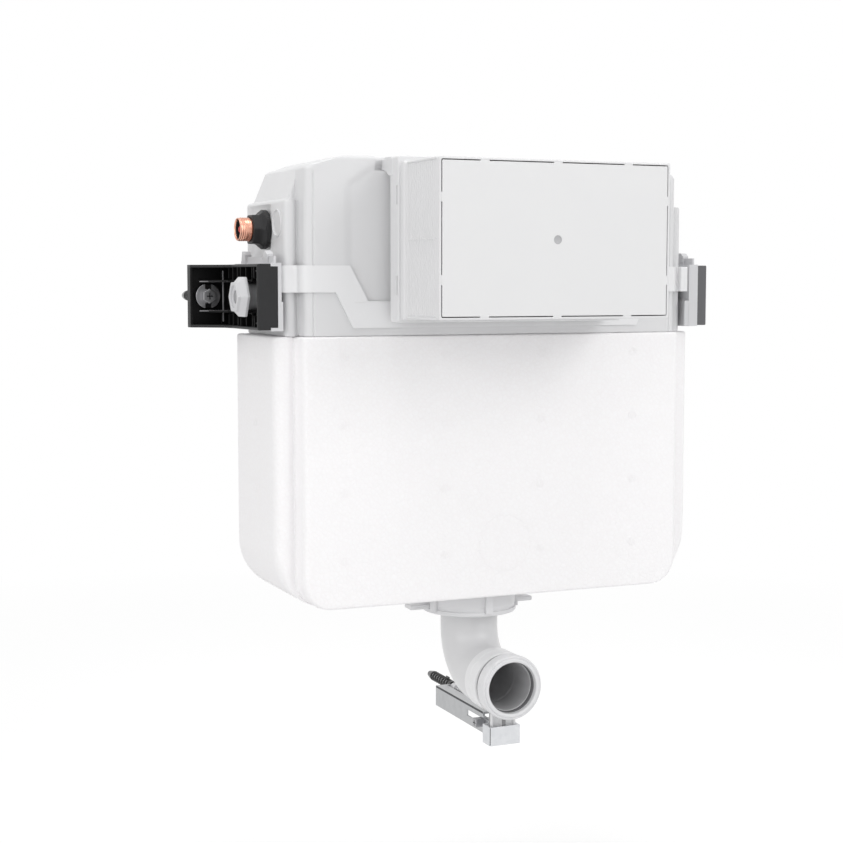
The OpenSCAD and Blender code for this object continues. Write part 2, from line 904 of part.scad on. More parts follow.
module access_box() {
    color([0.87, 0.87, 0.88])
    difference() {
        union() {
            block([-box_half, box_front_y, box_low], [box_half, box_back_y, box_top]);
            // Wider rear flange that carries the latches
            block([-box_half - 1, box_back_y - 16, box_low - 1], [box_half + 1, box_back_y, box_top + 1]);
            both_sides() {
                box_ear(box_top - 2, front_y - 0.3);
                translate([0, 0, 2 * box_mid_z])
                mirror([0, 0, 1])
                box_ear(box_top - 2, strap_y - strap_t - 0.3);
            }
        }
        block([-box_half + box_t, box_front_y - 1, box_low + box_t],
            [box_half - box_t, box_back_y - box_back_t, box_top - box_t]);
        block([-neck_half + tank_t, box_back_y - 10, neck_low + tank_t],
            [neck_half - tank_t, box_back_y + 1, tank_top - tank_t]);
        // Latch slots in the flange's sides
        for (z = [box_mid_z - 39, box_mid_z + 39])
            block([-box_half - 2, box_back_y - 9, z - latch_w / 2],
                [box_half + 2, box_back_y - 9 + latch_h, z + latch_w / 2]);
    }
}

module access_cover() {
    y0 = box_front_y;
    color([0.91, 0.91, 0.91])
    difference() {
        union() {
            block([-cover_half, y0, cover_low], [cover_half, y0 + cover_t, cover_top]);
            // Bridges across the slot
            for (x = [-bridge_x, 0, bridge_x])
                block([x - bridge_w / 2, y0, cover_low - cover_gap + 0.1],
                    [x + bridge_w / 2, y0 + cover_t, cover_top + cover_gap - 0.1]);
            for (z = [box_mid_z - bridge_z, box_mid_z + bridge_z])
                block([-cover_half - cover_gap + 0.1, y0, z - bridge_w / 2],
                    [cover_half + cover_gap - 0.1, y0 + cover_t, z + bridge_w / 2]);
            // Skirt behind the plate
            difference() {
                block([-cover_half + skirt_in, y0 + cover_t - e, cover_low + skirt_in],
                    [cover_half - skirt_in, y0 + cover_t + skirt_l, cover_top - skirt_in]);
                block([-cover_half + skirt_in + skirt_t, y0, cover_low + skirt_in + skirt_t],
                    [cover_half - skirt_in - skirt_t, y0 + 30, cover_top - skirt_in - skirt_t]);
            }
        }
        rod_y(0, y0 - 1, y0 + 0.8, box_mid_z, dimple_d / 2);
    }
}

module inlet_nipple() {
    color([0.86, 0.55, 0.43])
    difference() {
        union() {
            rod_x(inlet_x, inlet_nut_x, inlet_y, inlet_h, inlet_r);
            rod_x(inlet_nut_x - e, stop_x - seat_gap, inlet_y, inlet_h, inlet_core_r);
            rod_x(wall_in_x + gasket_t + seat_gap, stop_x - seat_gap, inlet_y, inlet_h, inlet_collar_r);
        }
        rod_x(inlet_x - 1, stop_x + 1, inlet_y, inlet_h, inlet_bore / 2);
    }
}

module inlet_lock_nut() {
    x1 = inlet_nut_x + inlet_nut_l + inlet_flange_t;
    color([0.1, 0.1, 0.11])
    difference() {
        union() {
            rod_x(x1 - inlet_flange_t, x1, inlet_y, inlet_h, inlet_flange_d / 2);
            translate([inlet_nut_x, inlet_y, inlet_h])
            rotate([0, 90, 0])
            cylinder(d = inlet_nut_af / cos(30), h = inlet_nut_l + e, $fn = 6);
        }
        rod_x(inlet_nut_x - 1, x1 + 1, inlet_y, inlet_h, inlet_core_r + 0.1);
    }
}

module inlet_gasket() {
    color([0.12, 0.12, 0.12])
    difference() {
        rod_x(wall_in_x + seat_gap, wall_in_x + gasket_t, inlet_y, inlet_h, inlet_gasket_r);
        rod_x(wall_in_x - 1, wall_in_x + gasket_t + 1, inlet_y, inlet_h, inlet_r + 0.15);
    }
}

module inlet_strainer() {
    x0 = inlet_x + strainer_in;
    x1 = x0 + strainer_l;
    r = inlet_bore / 2 - seat_gap;
    color([0.75, 0.08, 0.06])
    difference() {
        rod_x(x0, x1, inlet_y, inlet_h, r);
        rod_x(x0 - 1, x1 - strainer_end_t, inlet_y, inlet_h, r - strainer_wall);
        for (a = [0:60:300])
            rod_x(x0, x1 + 1, inlet_y + strainer_hole_in * cos(a),
                inlet_h + strainer_hole_in * sin(a), strainer_hole_r);
    }
}

module blanking_plug(x, y, z) {
    rod_x(-x - blank_flange_t - seat_gap, -x - seat_gap, y, z, blank_flange_r);
    rod_x(-x - seat_gap - e, -x + blank_l, y, z, blank_r);
}

module blanking_plugs() {
    color([0.8, 0.8, 0.8])
    union() {
        blanking_plug(half_w, blank_y, blank_h);
        mirror([1, 0, 0])
        blanking_plug(half_w, inlet_y, inlet_h);
    }
}

module stop_valve_body() {
    color([0.78, 0.62, 0.32])
    difference() {
        union() {
            rod_x(stop_x, stop_x + stop_l, inlet_y, inlet_h, stop_r);
            rod_y(spindle_x, inlet_y - stop_r - bonnet_l, inlet_y, inlet_h, bonnet_r);
            rod_y(spindle_x, inlet_y - stop_r - bonnet_l - knob_l, inlet_y, inlet_h, spindle_r);
        }
        rod_x(stop_x - 1, spindle_x - stop_seat_half, inlet_y, inlet_h, inlet_bore / 2);
        rod_x(spindle_x + stop_seat_half, stop_x + stop_l + 1, inlet_y, inlet_h, stop_out_r);
    }
}

module stop_valve_knob() {
    y1 = inlet_y - stop_r - bonnet_l - fit;
    color([0.2, 0.35, 0.65])
    difference() {
        rod_y(spindle_x, y1 - knob_l + 1, y1, inlet_h, knob_r);
        rod_y(spindle_x, y1 - knob_l - 2, y1 + 1, inlet_h, spindle_r + 0.05);
        for (a = [0:30:330])
            rod_y(spindle_x + (knob_r + 0.8) * cos(a), y1 - knob_l, y1 + 1,
                inlet_h + (knob_r + 0.8) * sin(a), knob_grip_r);
    }
}

hose_sag = 7;
hose_lead = 20;
hose_start = [stop_x + stop_l + hose_nut_l + fit, inlet_y, inlet_h];
hose_end = [fill_x - fill_head_r - 7 - hose_nut_l - fit, fill_y, fill_head_z + 13];

module hose_nut(x) {
    difference() {
        translate([x, 0, 0])
        rotate([0, 90, 0])
        cylinder(d = hose_nut_af / cos(30), h = hose_nut_l, $fn = 6);
        rod_x(x - 1, x + hose_nut_l + 1, 0, 0, 4);
    }
}

module hose_nuts() {
    color([0.75, 0.75, 0.77])
    union() {
        translate([0, inlet_y, inlet_h])
        hose_nut(stop_x + stop_l + seat_gap);
        translate([0, hose_end.y, hose_end.z])
        hose_nut(hose_end.x + fit);
    }
}

// The hose leaves both nuts level and sags between them
function hose_point(t) =
    let (p = [hose_start, hose_start + [hose_lead, 0, 0], hose_end - [hose_lead, 0, 0], hose_end])
    pow(1 - t, 3) * p[0] + 3 * t * pow(1 - t, 2) * p[1] + 3 * t * t * (1 - t) * p[2]
    + pow(t, 3) * p[3] - [0, 0, 16 * hose_sag * pow(t * (1 - t), 2)];

module supply_hose() {
    steps = 20;
    sides = 10;
    path = [for (i = [0:steps]) hose_point(i / steps)];
    points = [for (i = [0:steps]) for (k = [0:sides - 1])
        let (d = path[min(i + 1, steps)] - path[max(i - 1, 0)],
            u = (i == 0 || i == steps) ? [1, 0, 0] : d / norm(d),
            n = cross([0, 1, 0], u) / norm(cross([0, 1, 0], u)),
            a = 360 * k / sides)
        path[i] + hose_r * (cos(a) * [0, 1, 0] + sin(a) * n)];
    faces = concat(
        [for (i = [0:steps - 1]) for (k = [0:sides - 1])
            [i * sides + k, (i + 1) * sides + k, (i + 1) * sides + (k + 1) % sides]],
        [for (i = [0:steps - 1]) for (k = [0:sides - 1])
            [i * sides + k, (i + 1) * sides + (k + 1) % sides, i * sides + (k + 1) % sides]],
        [[for (k = [0:sides - 1]) k]],
        [[for (k = [sides - 1:-1:0]) steps * sides + k]]);
    color([0.7, 0.7, 0.72])
    polyhedron(points, faces);
}

module fill_valve_body() {
    z1 = fill_head_z + fill_head_h;
    color([0.93, 0.93, 0.93])
    difference() {
        union() {
            rod_z(fill_x, fill_y, fill_low_z, fill_head_z + 1, fill_stem_r);
            rod_z(fill_x, fill_y, fill_head_z, z1, fill_head_r);
            rod_x(fill_x - fill_head_r - 7, fill_x, fill_y, fill_head_z + 13, 6.5);
            for (x = [fill_x - 7, fill_x + 4])
                block([x, fill_y - 4, z1 - e], [x + 3, fill_y + 4, lever_z + 5]);
        }
        rod_z(fill_x, fill_y, fill_low_z - 1, z1 - 6, 5);
        rod_x(fill_x - fill_head_r - 9, fill_x, fill_y, fill_head_z + 13, 4);
        rod_x(fill_x - 10, fill_x + 10, fill_y, lever_z, 1.6);
    }
}

module fill_lever_pin() {
    color([0.7, 0.7, 0.72])
    rod_x(fill_x - 8, fill_x + 8, fill_y, lever_z, 1.5);
}

module fill_valve_lever() {
    color([0.25, 0.45, 0.75])
    difference() {
        union() {
            rod_x(fill_x - 3.6, fill_x + 3.6, fill_y, lever_z, 3.6);
            block([fill_x - 3.6, float_rod_y - 10, lever_z - 1.6], [fill_x + 3.6, fill_y, lever_z + 1.6]);
            // Tail with the adjusting block, which balances the arm
            block([fill_x - 3.6, fill_y, lever_z - 1.6], [fill_x + 3.6, fill_y + lever_tail, lever_z + 1.6]);
            block([fill_x - 3.6, fill_y + 5, lever_z], [fill_x + 3.6, fill_y + lever_tail, lever_z + 6.4]);
        }
        rod_x(fill_x - 5, fill_x + 5, fill_y, lever_z, 1.55);
        block([fill_x - float_rod_r - 0.4, float_rod_y - 6.5, lever_z - 3],
            [fill_x + float_rod_r + 0.4, float_rod_y + 3.2, lever_z + 3]);
    }
}

module fill_float() {
    color([0.9, 0.9, 0.9])
    difference() {
        union() {
            rod_z(fill_x, fill_y, float_low_z, float_low_z + float_h, float_r);
            block([fill_x - float_ear_half, float_rod_y - float_ear_half, float_low_z + float_h - 4],
                [fill_x + float_ear_half, fill_y, float_low_z + float_h]);
        }
        rod_z(fill_x, fill_y, float_low_z - 1, float_low_z + float_h + 1, fill_stem_r + 0.3);
        pipe_z(fill_x, fill_y, float_low_z - 1, float_low_z + float_h - float_roof,
            fill_stem_r + float_skin + 0.5, float_r - float_skin);
        rod_z(fill_x, float_rod_y, float_low_z, float_low_z + float_h + 1, float_rod_r + 0.1);
    }
}

module float_rod() {
    color([0.3, 0.3, 0.32])
    union() {
        rod_z(fill_x, float_rod_y, float_low_z + float_h - 14, rod_top_z, float_rod_r);
        // Collars that hold the float and drive the lever
        rod_z(fill_x, float_rod_y, float_low_z + float_h + seat_gap, float_low_z + float_h + 3, 3.4);
        rod_z(fill_x, float_rod_y, lever_z - 5.6, lever_z - 3.2, 3.4);
        rod_z(fill_x, float_rod_y, lever_z + 3.6, rod_top_z, 3.4);
    }
}

module valve_bridge() {
    color([0.9, 0.9, 0.92])
    union() {
        difference() {
            block([-frame_half, frame_y, frame_low], [frame_half, frame_back_y, frame_top]);
            block([-frame_half + frame_t, frame_y - 1, frame_low + frame_t],
                [frame_half - frame_t, frame_back_y + 1, frame_top - frame_t]);
        }
        block([-frame_half + e, frame_back_y - 4, beam_z], [frame_half - e, frame_back_y, beam_z + beam_h]);
        for (x = [full_x - lever_w / 2 - 3.5, full_x + lever_w / 2 + 0.5, half_x - lever_w / 2 - 3.5,
                half_x + lever_w / 2 + 0.5])
            difference() {
                block([x, frame_back_y - 4, pin_z - 5], [x + 3, pin_y + 5, beam_z + beam_h]);
                rod_x(x - 1, x + 4, pin_y, pin_z, pin_r + 0.05);
            }
        // Shelf that carries the fill valve
        difference() {
            union() {
                block([-frame_half + e, frame_back_y - e - 4, shelf_z],
                    [fill_x + 14, fill_y, shelf_z + shelf_t]);
                rod_z(fill_x, fill_y, shelf_z, shelf_z + shelf_t, 14);
            }
            rod_z(fill_x, fill_y, shelf_z - 1, shelf_z + shelf_t + 1, fill_stem_r + fit);
            block([fill_x - 5, float_rod_y - 5, shelf_z - 1], [fill_x + 5, float_rod_y + 5, shelf_z + 9]);
        }
    }
}

module lever_pin() {
    color([0.7, 0.7, 0.72])
    rod_x(full_x - lever_w / 2 - 5, half_x + lever_w / 2 + 5, pin_y, pin_z, pin_r);
}

module flush_lever(x) {
    difference() {
        union() {
            rod_x(x - lever_w / 2, x + lever_w / 2, pin_y, pin_z, 6);
            // Lifting arm to the back, push arm downwards
            block([x - lever_w / 2, pin_y, pin_z - 3], [x + lever_w / 2, hook_y + 5, arm_top_z]);
            along_x(x - lever_w / 2, x + lever_w / 2)
            polygon([[pin_y - 6, pin_z], [pin_y + 3, pin_z], [pin_y - 2, pin_z - 34],
                [pin_y - 9, pin_z - 34]]);
            rod_x(x - lever_w / 2, x + lever_w / 2, pin_y - 5.5, pin_z - 34, 5);
        }
        rod_x(x - lever_w, x + lever_w, pin_y, pin_z, pin_r + 0.05);
    }
}

module full_flush_lever() {
    color([0.22, 0.45, 0.75])
    flush_lever(full_x);
}

module half_flush_lever() {
    color([0.3, 0.6, 0.35])
    flush_lever(half_x);
}

module lift_head() {
    tube_top = overflow_h;
    color([0.22, 0.45, 0.75])
    union() {
        // Spider that stands on the overflow tube
        for (a = [0, 90])
            translate([0, outlet_y, tube_top + 3])
            rotate([0, 0, a])
            cube([tube_d - 1, 3, 6 - 2 * seat_gap], center = true);
        rod_z(0, outlet_y, tube_top + seat_gap, head_z + head_t, 4);
        // Hook over the full-flush lever
        block([full_x - lever_w / 2, outlet_y - 5, head_z], [0, outlet_y + 5, head_z + head_t]);
    }
}

module overflow_tube() {
    color([0.92, 0.92, 0.93])
    difference() {
        union() {
            rod_z(0, outlet_y, seal_z + seal_t + seat_gap, overflow_h, tube_r);
            rod_z(0, outlet_y, seal_z + seal_t + seat_gap, seal_z + seal_t + 5, seal_r - 3);
            rod_z(0, outlet_y, seal_z - 5, seal_z + seal_t + 1, tube_r - 0.4);
        }
        rod_z(0, outlet_y, seal_z - 6, overflow_h + 1, tube_r - tube_t);
    }
}

module flush_seal() {
    color([0.15, 0.15, 0.15])
    pipe_z(0, outlet_y, seal_z, seal_z + seal_t, tube_r - 0.2, seal_r);
}

module half_flush_rod() {
    color([0.3, 0.6, 0.35])
    union() {
        rod_z(half_rod_x, outlet_y, cage_top_z - 12, head_z + head_t, half_rod_r);
        rod_z(half_rod_x, outlet_y, cage_top_z + half_float_z + half_float_h,
            cage_top_z + half_float_z + half_float_h + 3, half_rod_r + 2);
        // Hook over the half-flush lever
        block([half_x - lever_w / 2, outlet_y - 5, head_z],
            [half_rod_x + half_rod_r, outlet_y + 5, head_z + head_t]);
    }
}

module half_flush_float() {
    color([0.85, 0.88, 0.85])
    difference() {
        rod_z(half_rod_x, outlet_y, cage_top_z + half_float_z,
            cage_top_z + half_float_z + half_float_h - seat_gap, half_float_r);
        rod_z(half_rod_x, outlet_y, cage_top_z, cage_top_z + half_float_z + half_float_h + 1,
            half_rod_r + 0.05);
    }
}

module valve_cage() {
    z0 = lip_z + seat_gap;
    color([0.93, 0.93, 0.94])
    union() {
        pipe_z(0, outlet_y, z0, z0 + cage_ring_h, cage_r - cage_t, cage_r);
        intersection() {
            pipe_z(0, outlet_y, z0 + e, cage_top_z - e, cage_r - cage_t, cage_r);
            for (a = [0:60:120])
                translate([0, outlet_y, 0])
                rotate([0, 0, a])
                cube([2 * cage_d, cage_bar_w, far], center = true);
        }
        difference() {
            pipe_z(0, outlet_y, cage_top_z - cage_t, cage_top_z, tube_r + cage_play, cage_r);
            rod_z(half_rod_x, outlet_y, cage_top_z - cage_t - 1, cage_top_z + 1, half_rod_r + 0.08);
        }
        difference() {
            pipe_z(0, outlet_y, cage_top_z - e, cage_top_z + guide_h, tube_r + cage_play,
                tube_r + cage_play + guide_t);
            rod_z(half_rod_x, outlet_y, cage_top_z, cage_top_z + guide_h + 1, half_float_r + 1);
        }
    }
}

module valve_seat() {
    color([0.93, 0.93, 0.94])
    difference() {
        union() {
            rod_z(0, outlet_y, spigot_z, seat_flange_z + 1, spigot_r);
            rod_z(0, outlet_y, seat_flange_z, lip_z, seat_flange_r);
            rod_z(0, outlet_y, lip_z - e, lip_z + lip_h, lip_r);
        }
        rod_z(0, outlet_y, spigot_z - 1, lip_z + 1, spigot_bore_r);
        rod_z(0, outlet_y, lip_z - 1, lip_z + lip_h + 1, lip_in_r);
    }
}

module seat_gasket() {
    color([0.15, 0.15, 0.15])
    pipe_z(0, outlet_y, floor_top_z + seat_gap, floor_top_z + gasket_t, spigot_r + 0.3, seat_flange_r - 1);
}

module outlet_lock_nut() {
    band_z = nut_low_z + nut_foot_h;
    color([0.9, 0.9, 0.91])
    difference() {
        union() {
            rod_z(0, outlet_y, band_z, nut_top_z, nut_r - nut_band_in);
            rod_z(0, outlet_y, nut_low_z, band_z + e, nut_r - nut_foot_in);
            rod_z(0, outlet_y, band_z, band_z + nut_band_h, nut_r);
            for (a = [30:60:330])
                translate([0, outlet_y, 0])
                rotate([0, 0, a])
                block([nut_r - 3, -nut_rib_w / 2, band_z],
                    [nut_r + 1, nut_rib_w / 2, nut_top_z - nut_rib_top]);
            for (a = [0, 180])
                translate([0, outlet_y, 0])
                rotate([0, 0, a])
                block([nut_r - 3, -nut_lug_w / 2, band_z + nut_lug_h],
                    [nut_r + nut_lug_l, nut_lug_w / 2, band_z + 2 * nut_lug_h]);
        }
        rod_z(0, outlet_y, nut_low_z + nut_lip_h, nut_top_z + 1, spigot_r + 0.1);
        rod_z(0, outlet_y, nut_low_z - 1, nut_top_z, bend_or + 0.4);
    }
}

module bend_seal() {
    color([0.15, 0.15, 0.15])
    pipe_z(0, outlet_y, bend_top_z + seat_gap, spigot_z - seat_gap, bend_ir + 0.5, spigot_r - 0.3);
}

// Quarter ring about the bend's centre, from the drop to the level run
module elbow(r) {
    translate([0, bend_y, bend_z])
    rotate([0, 90, 0])
    rotate_extrude(angle = 90)
    translate([bend_r, 0])
    circle(r);
}

module bend_core(r, over) {
    rod_z(0, outlet_y, bend_z, bend_top_z + over, r);
    elbow(r);
    rod_y(0, bend_end_y - over, bend_y, socket_z, r);
}

module flush_bend() {
    color([0.93, 0.93, 0.94])
    difference() {
        union() {
            bend_core(bend_or, 0);
            rod_z(0, outlet_y, bend_top_z - bend_flange_t, bend_top_z, bend_flange_r);
            // Foot that stands in the clip
            block([-foot_w / 2, foot_y + foot_rib_l, foot_low_z],
                [foot_w / 2, foot_y + foot_rib_l + foot_t, socket_z - bend_or + 4]);
            block([-1.5, foot_y, foot_low_z], [1.5, foot_y + foot_rib_l + e, socket_z - bend_or + 2]);
        }
        bend_core(bend_ir, 1);
        rod_y(0, bend_end_y - 1, socket_y + socket_depth, socket_z, socket_r);
    }
}

module socket_seal() {
    color([0.2, 0.2, 0.2])
    difference() {
        rod_y(0, socket_y + ring_lip + seat_gap, bend_end_y - seat_gap, socket_z, bend_or - 0.5);
        rod_y(0, socket_y, bend_end_y + 1, socket_z, socket_r + 0.05);
    }
}

module socket_ring() {
    color([0.95, 0.95, 0.95])
    difference() {
        union() {
            rod_y(0, socket_y, socket_y + 3, socket_z, ring_r - 1.8);
            rod_y(0, socket_y + 2, socket_y + ring_l - 8, socket_z, ring_r);
            rod_y(0, socket_y + ring_l - 9, socket_y + ring_l, socket_z, ring_r - 1);
        }
        rod_y(0, socket_y - 1, socket_y + ring_lip, socket_z, socket_r + 0.6);
        rod_y(0, socket_y + ring_lip - e, socket_y + ring_l + 1, socket_z, bend_or + 0.1);
    }
}

module wall_arm() {
    z0 = arm_z - arm_h;
    color([0.72, 0.73, 0.74])
    difference() {
        union() {
            block([web_x, -arm_l, z0], [web_x + arm_t, 0, arm_z]);
            block([web_x, -arm_l, arm_z - arm_t], [web_x + arm_flange, 0, arm_z]);
            block([web_x, arm_end, arm_slot_z - arm_tongue_h / 2],
                [web_x + arm_t, -arm_l + e, arm_slot_z + arm_tongue_h / 2]);
            // Ear that is screwed to the wall
            block([web_x, -arm_t, z0], [web_x + arm_foot_w, 0, arm_z]);
        }
        rod_y(arm_screw_x, -arm_t - 1, 1, arm_screw_z, screw_d / 2 + 0.5);
        block([web_x - 1, clip_bolt_y - depth_travel, arm_slot_z - arm_slot_h / 2],
            [web_x + arm_t + 1, arm_slot_back, arm_slot_z + arm_slot_h / 2]);
        rod_x(web_x - 1, web_x + arm_t + 1, clip_bolt_y - depth_travel, arm_slot_z, arm_slot_h / 2);
    }
}

module arm_screw() {
    y0 = spacer_front - seat_gap;
    color([0.6, 0.6, 0.62])
    union() {
        rod_y(arm_screw_x, y0 - e, screw_in - seat_gap, arm_screw_z, screw_d / 2);
        hex_y(arm_screw_x, y0 - arm_head_l, y0, arm_screw_z, screw_af);
    }
}

module arm_spacer() {
    color([0.8, 0.8, 0.8])
    difference() {
        union() {
            hex_y(arm_screw_x, spacer_front, collar_front, arm_screw_z, 11);
            rod_y(arm_screw_x, collar_front - e, -arm_t - seat_gap, arm_screw_z, 6);
        }
        rod_y(arm_screw_x, spacer_front - 1, 1, arm_screw_z, screw_d / 2 + 0.1);
    }
}

module arm_plug() {
    color([0.3, 0.3, 0.32])
    wall_plug(arm_screw_x, arm_screw_z, arm_plug_l);
}

module foot_clip() {
    z0 = clip_z - clip_h;
    low = arm_slot_z - clip_head_w / 2;
    high = arm_slot_z + clip_head_w / 2;
    back = clip_y + clip_l;
    color([0.8, 0.8, 0.81])
    difference() {
        union() {
            difference() {
                block([-clip_w / 2, clip_y, z0], [clip_w / 2, back, clip_z]);
                block([-clip_w / 2 + clip_t, clip_y + clip_t, z0 - 1],
                    [clip_w / 2 - clip_t, back + 1, clip_z + 1]);
            }
            // Tab that runs back along the arm to the bolt
            block([-clip_w / 2, back - clip_t, low], [clip_tab_x + clip_t, back, clip_z]);
            block([clip_tab_x, back - clip_t, low], [clip_tab_x + clip_t, clip_bolt_y + 4, clip_z]);
            block([clip_tab_x, clip_bolt_y - 4, low], [clip_tab_x + clip_t, clip_bolt_y + 4, high]);
        }
        rod_x(clip_tab_x - 1, clip_tab_x + clip_t + 1, clip_bolt_y, arm_slot_z, clip_bolt_r + fit);
    }
}

module clip_bolt() {
    x1 = clip_tab_x - seat_gap;
    color([0.6, 0.6, 0.62])
    difference() {
        union() {
            block([x1 - clip_head_l, clip_bolt_y - clip_head_w / 2, arm_slot_z - clip_head_w / 2],
                [x1, clip_bolt_y + clip_head_w / 2, arm_slot_z + clip_head_w / 2]);
            rod_x(x1 - e, web_x + arm_t + 8, clip_bolt_y, arm_slot_z, clip_bolt_r);
        }
        for (a = [0, 90])
            translate([x1 - clip_head_l, clip_bolt_y, arm_slot_z])
            rotate([a, 0, 0])
            cube([3, 5, 1], center = true);
    }
}

module clip_nut() {
    x0 = web_x + arm_t + fit;
    color([0.6, 0.6, 0.62])
    difference() {
        translate([x0, clip_bolt_y, arm_slot_z])
        rotate([0, 90, 0])
        cylinder(d = 8 / cos(30), h = 4, $fn = 6);
        rod_x(x0 - 1, x0 + 5, clip_bolt_y, arm_slot_z, clip_bolt_r + 0.1);
    }
}

tank_shell();
insulation_jacket();
carrier_strap();
left_holder();
right_holder();
left_bracket();
right_bracket();
left_lock_nut();
right_lock_nut();
lock_collars();
wall_screws();
wall_washers();
wall_plugs();
access_box();
access_cover();
inlet_nipple();
inlet_lock_nut();
inlet_gasket();
inlet_strainer();
blanking_plugs();
stop_valve_body();
stop_valve_knob();
hose_nuts();
supply_hose();
fill_valve_body();
fill_valve_lever();
fill_lever_pin();
fill_float();
float_rod();
valve_bridge();
lever_pin();
full_flush_lever();
half_flush_lever();
lift_head();
overflow_tube();
flush_seal();
half_flush_rod();
half_flush_float();
valve_cage();
valve_seat();
seat_gasket();
outlet_lock_nut();
bend_seal();
flush_bend();
socket_seal();
socket_ring();
wall_arm();
arm_screw();
arm_spacer();
arm_plug();
foot_clip();
clip_bolt();
clip_nut();
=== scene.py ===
# Looks of a concealed toilet cistern: foam-jacketed tank, carrier strap, wall brackets,
# access box, inlet, flush bend and wall arm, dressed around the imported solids.
# Sizes in the making of pieces are in millimetres and become metres when a piece is made.
import json
import math
import bmesh
import bpy
from mathutils import Matrix, Vector, noise as waves


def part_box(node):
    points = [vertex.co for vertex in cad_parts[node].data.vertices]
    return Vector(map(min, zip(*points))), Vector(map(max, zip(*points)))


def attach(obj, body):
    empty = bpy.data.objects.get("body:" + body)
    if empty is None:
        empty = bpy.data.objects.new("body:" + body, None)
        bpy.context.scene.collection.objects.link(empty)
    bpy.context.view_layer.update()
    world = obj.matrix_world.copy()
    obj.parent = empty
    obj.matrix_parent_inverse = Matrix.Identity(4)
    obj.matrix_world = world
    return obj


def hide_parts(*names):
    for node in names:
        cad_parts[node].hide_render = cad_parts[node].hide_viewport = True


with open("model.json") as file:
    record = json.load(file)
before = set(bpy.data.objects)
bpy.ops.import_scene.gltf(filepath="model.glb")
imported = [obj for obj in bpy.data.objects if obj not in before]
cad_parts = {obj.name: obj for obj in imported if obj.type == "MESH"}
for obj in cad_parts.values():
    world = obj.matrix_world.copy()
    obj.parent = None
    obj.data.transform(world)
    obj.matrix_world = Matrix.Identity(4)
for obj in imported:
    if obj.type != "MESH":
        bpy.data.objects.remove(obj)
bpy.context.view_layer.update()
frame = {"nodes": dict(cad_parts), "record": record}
MM = 0.001
CREASE = 28
BODY_OF = {name: body for body, names in frame["record"]["behaviour"]["bodies"].items()
           for name in names}
SLOT_OF = {part["node"]: part["material_slot"] for part in frame["record"]["subparts"]}


# Node trees

class Strand:
    """A socket of a node tree. Sums add Math nodes, and node() adds any other node."""

    def __init__(self, tree, socket=None):
        self.tree = tree
        self.socket = socket

    def node(self, kind, settings=None, sockets=None, out=0):
        """Adds a node: its settings first, then the values or strands of its sockets."""
        made = self.tree.nodes.new(kind)
        for key, value in (settings or {}).items():
            if key == "stops":
                set_stops(made.color_ramp, value)
            else:
                setattr(made, key, value)
        for key, value in (sockets or {}).items():
            if isinstance(value, Strand):
                self.tree.links.new(value.socket, made.inputs[key])
            else:
                made.inputs[key].default_value = value
        return Strand(self.tree, made.outputs[out] if made.outputs else None)

    def maths(self, operation, first, second=0.0):
        """A Math node of an operation on two values."""
        return self.node("ShaderNodeMath", {"operation": operation}, {0: first, 1: second})

    def __add__(self, other):
        return self.maths("ADD", self, other)

    def __radd__(self, other):
        return self.maths("ADD", other, self)

    def __sub__(self, other):
        return self.maths("SUBTRACT", self, other)

    def __rsub__(self, other):
        return self.maths("SUBTRACT", other, self)

    def __mul__(self, other):
        return self.maths("MULTIPLY", self, other)

    def __rmul__(self, other):
        return self.maths("MULTIPLY", other, self)

    def clamped(self):
        """The value held between 0 and 1."""
        return self.node("ShaderNodeClamp", None, {"Value": self})


def set_stops(ramp, stops):
    """Gives a colour ramp its stops, as (place, grey level) pairs."""
    while len(ramp.elements) < len(stops):
        ramp.elements.new(1.0)
    for element, (place, level) in zip(ramp.elements, stops):
        element.position = place
        element.color = (level, level, level, 1)


# Finishes

def paint(red, green, blue):
    """A screen colour from 0 to 255 as the linear colour that a shader takes."""
    def linear(value):
        part = value / 255
        return part / 12.92 if part <= 0.04045 else ((part + 0.055) / 1.055) ** 2.4
    return (linear(red), linear(green), linear(blue), 1)


def new_finish(name):
    """An empty material and the strand of its object coordinates."""
    finish = bpy.data.materials.new(name)
    finish.use_nodes = True
    finish.node_tree.nodes.clear()
    start = Strand(finish.node_tree)
    return finish, start.node("ShaderNodeTexCoord", None, None, "Object")


def close_finish(finish, place, colour, roughness, normal, constants):
    """Ends a material in a Principled shader with its constant sockets."""
    sockets = {"Base Color": colour, "Roughness": roughness, "Normal": normal, **constants}
    shader = place.node("ShaderNodeBsdfPrincipled", None, sockets)
    place.node("ShaderNodeOutputMaterial", None, {"Surface": shader})
    return finish


def along(place, axis):
    """One coordinate of a place in metres: 0 for x, 1 for y, 2 for z."""
    return place.node("ShaderNodeSeparateXYZ", None, {"Vector": place}, axis)


def noise(place, size_mm, detail=3.0, rough=0.55):
    """Noise from 0 to 1 whose blotches are about size_mm wide."""
    return place.node("ShaderNodeTexNoise", {"noise_dimensions": "3D"},
                      {"Vector": place, "Scale": 1000 / size_mm, "Detail": detail,
                       "Roughness": rough}, "Fac")


def tinted(place, factor, low, high):
    """A colour between low and high."""
    return place.node("ShaderNodeMix", {"data_type": "RGBA"}, {0: factor, 6: low, 7: high}, 2)


def ramp(place, factor, stops):
    """A grey level that follows a factor through (place, level) stops."""
    return place.node("ShaderNodeValToRGB", {"stops": stops}, {"Fac": factor})


def bands(place, direction, scale, distortion=0.0):
    """Light and dark bands that follow each other along a direction."""
    return place.node("ShaderNodeTexWave", {"wave_type": "BANDS", "bands_direction": direction},
                      {"Vector": place, "Scale": scale, "Distortion": distortion, "Detail": 1.0},
                      "Fac")


def cells(place, scale, uneven, feature, out):
    """Cells side by side, for how far their edges are or for a colour of their own."""
    return place.node("ShaderNodeTexVoronoi", {"feature": feature},
                      {"Vector": place, "Scale": scale, "Randomness": uneven}, out)


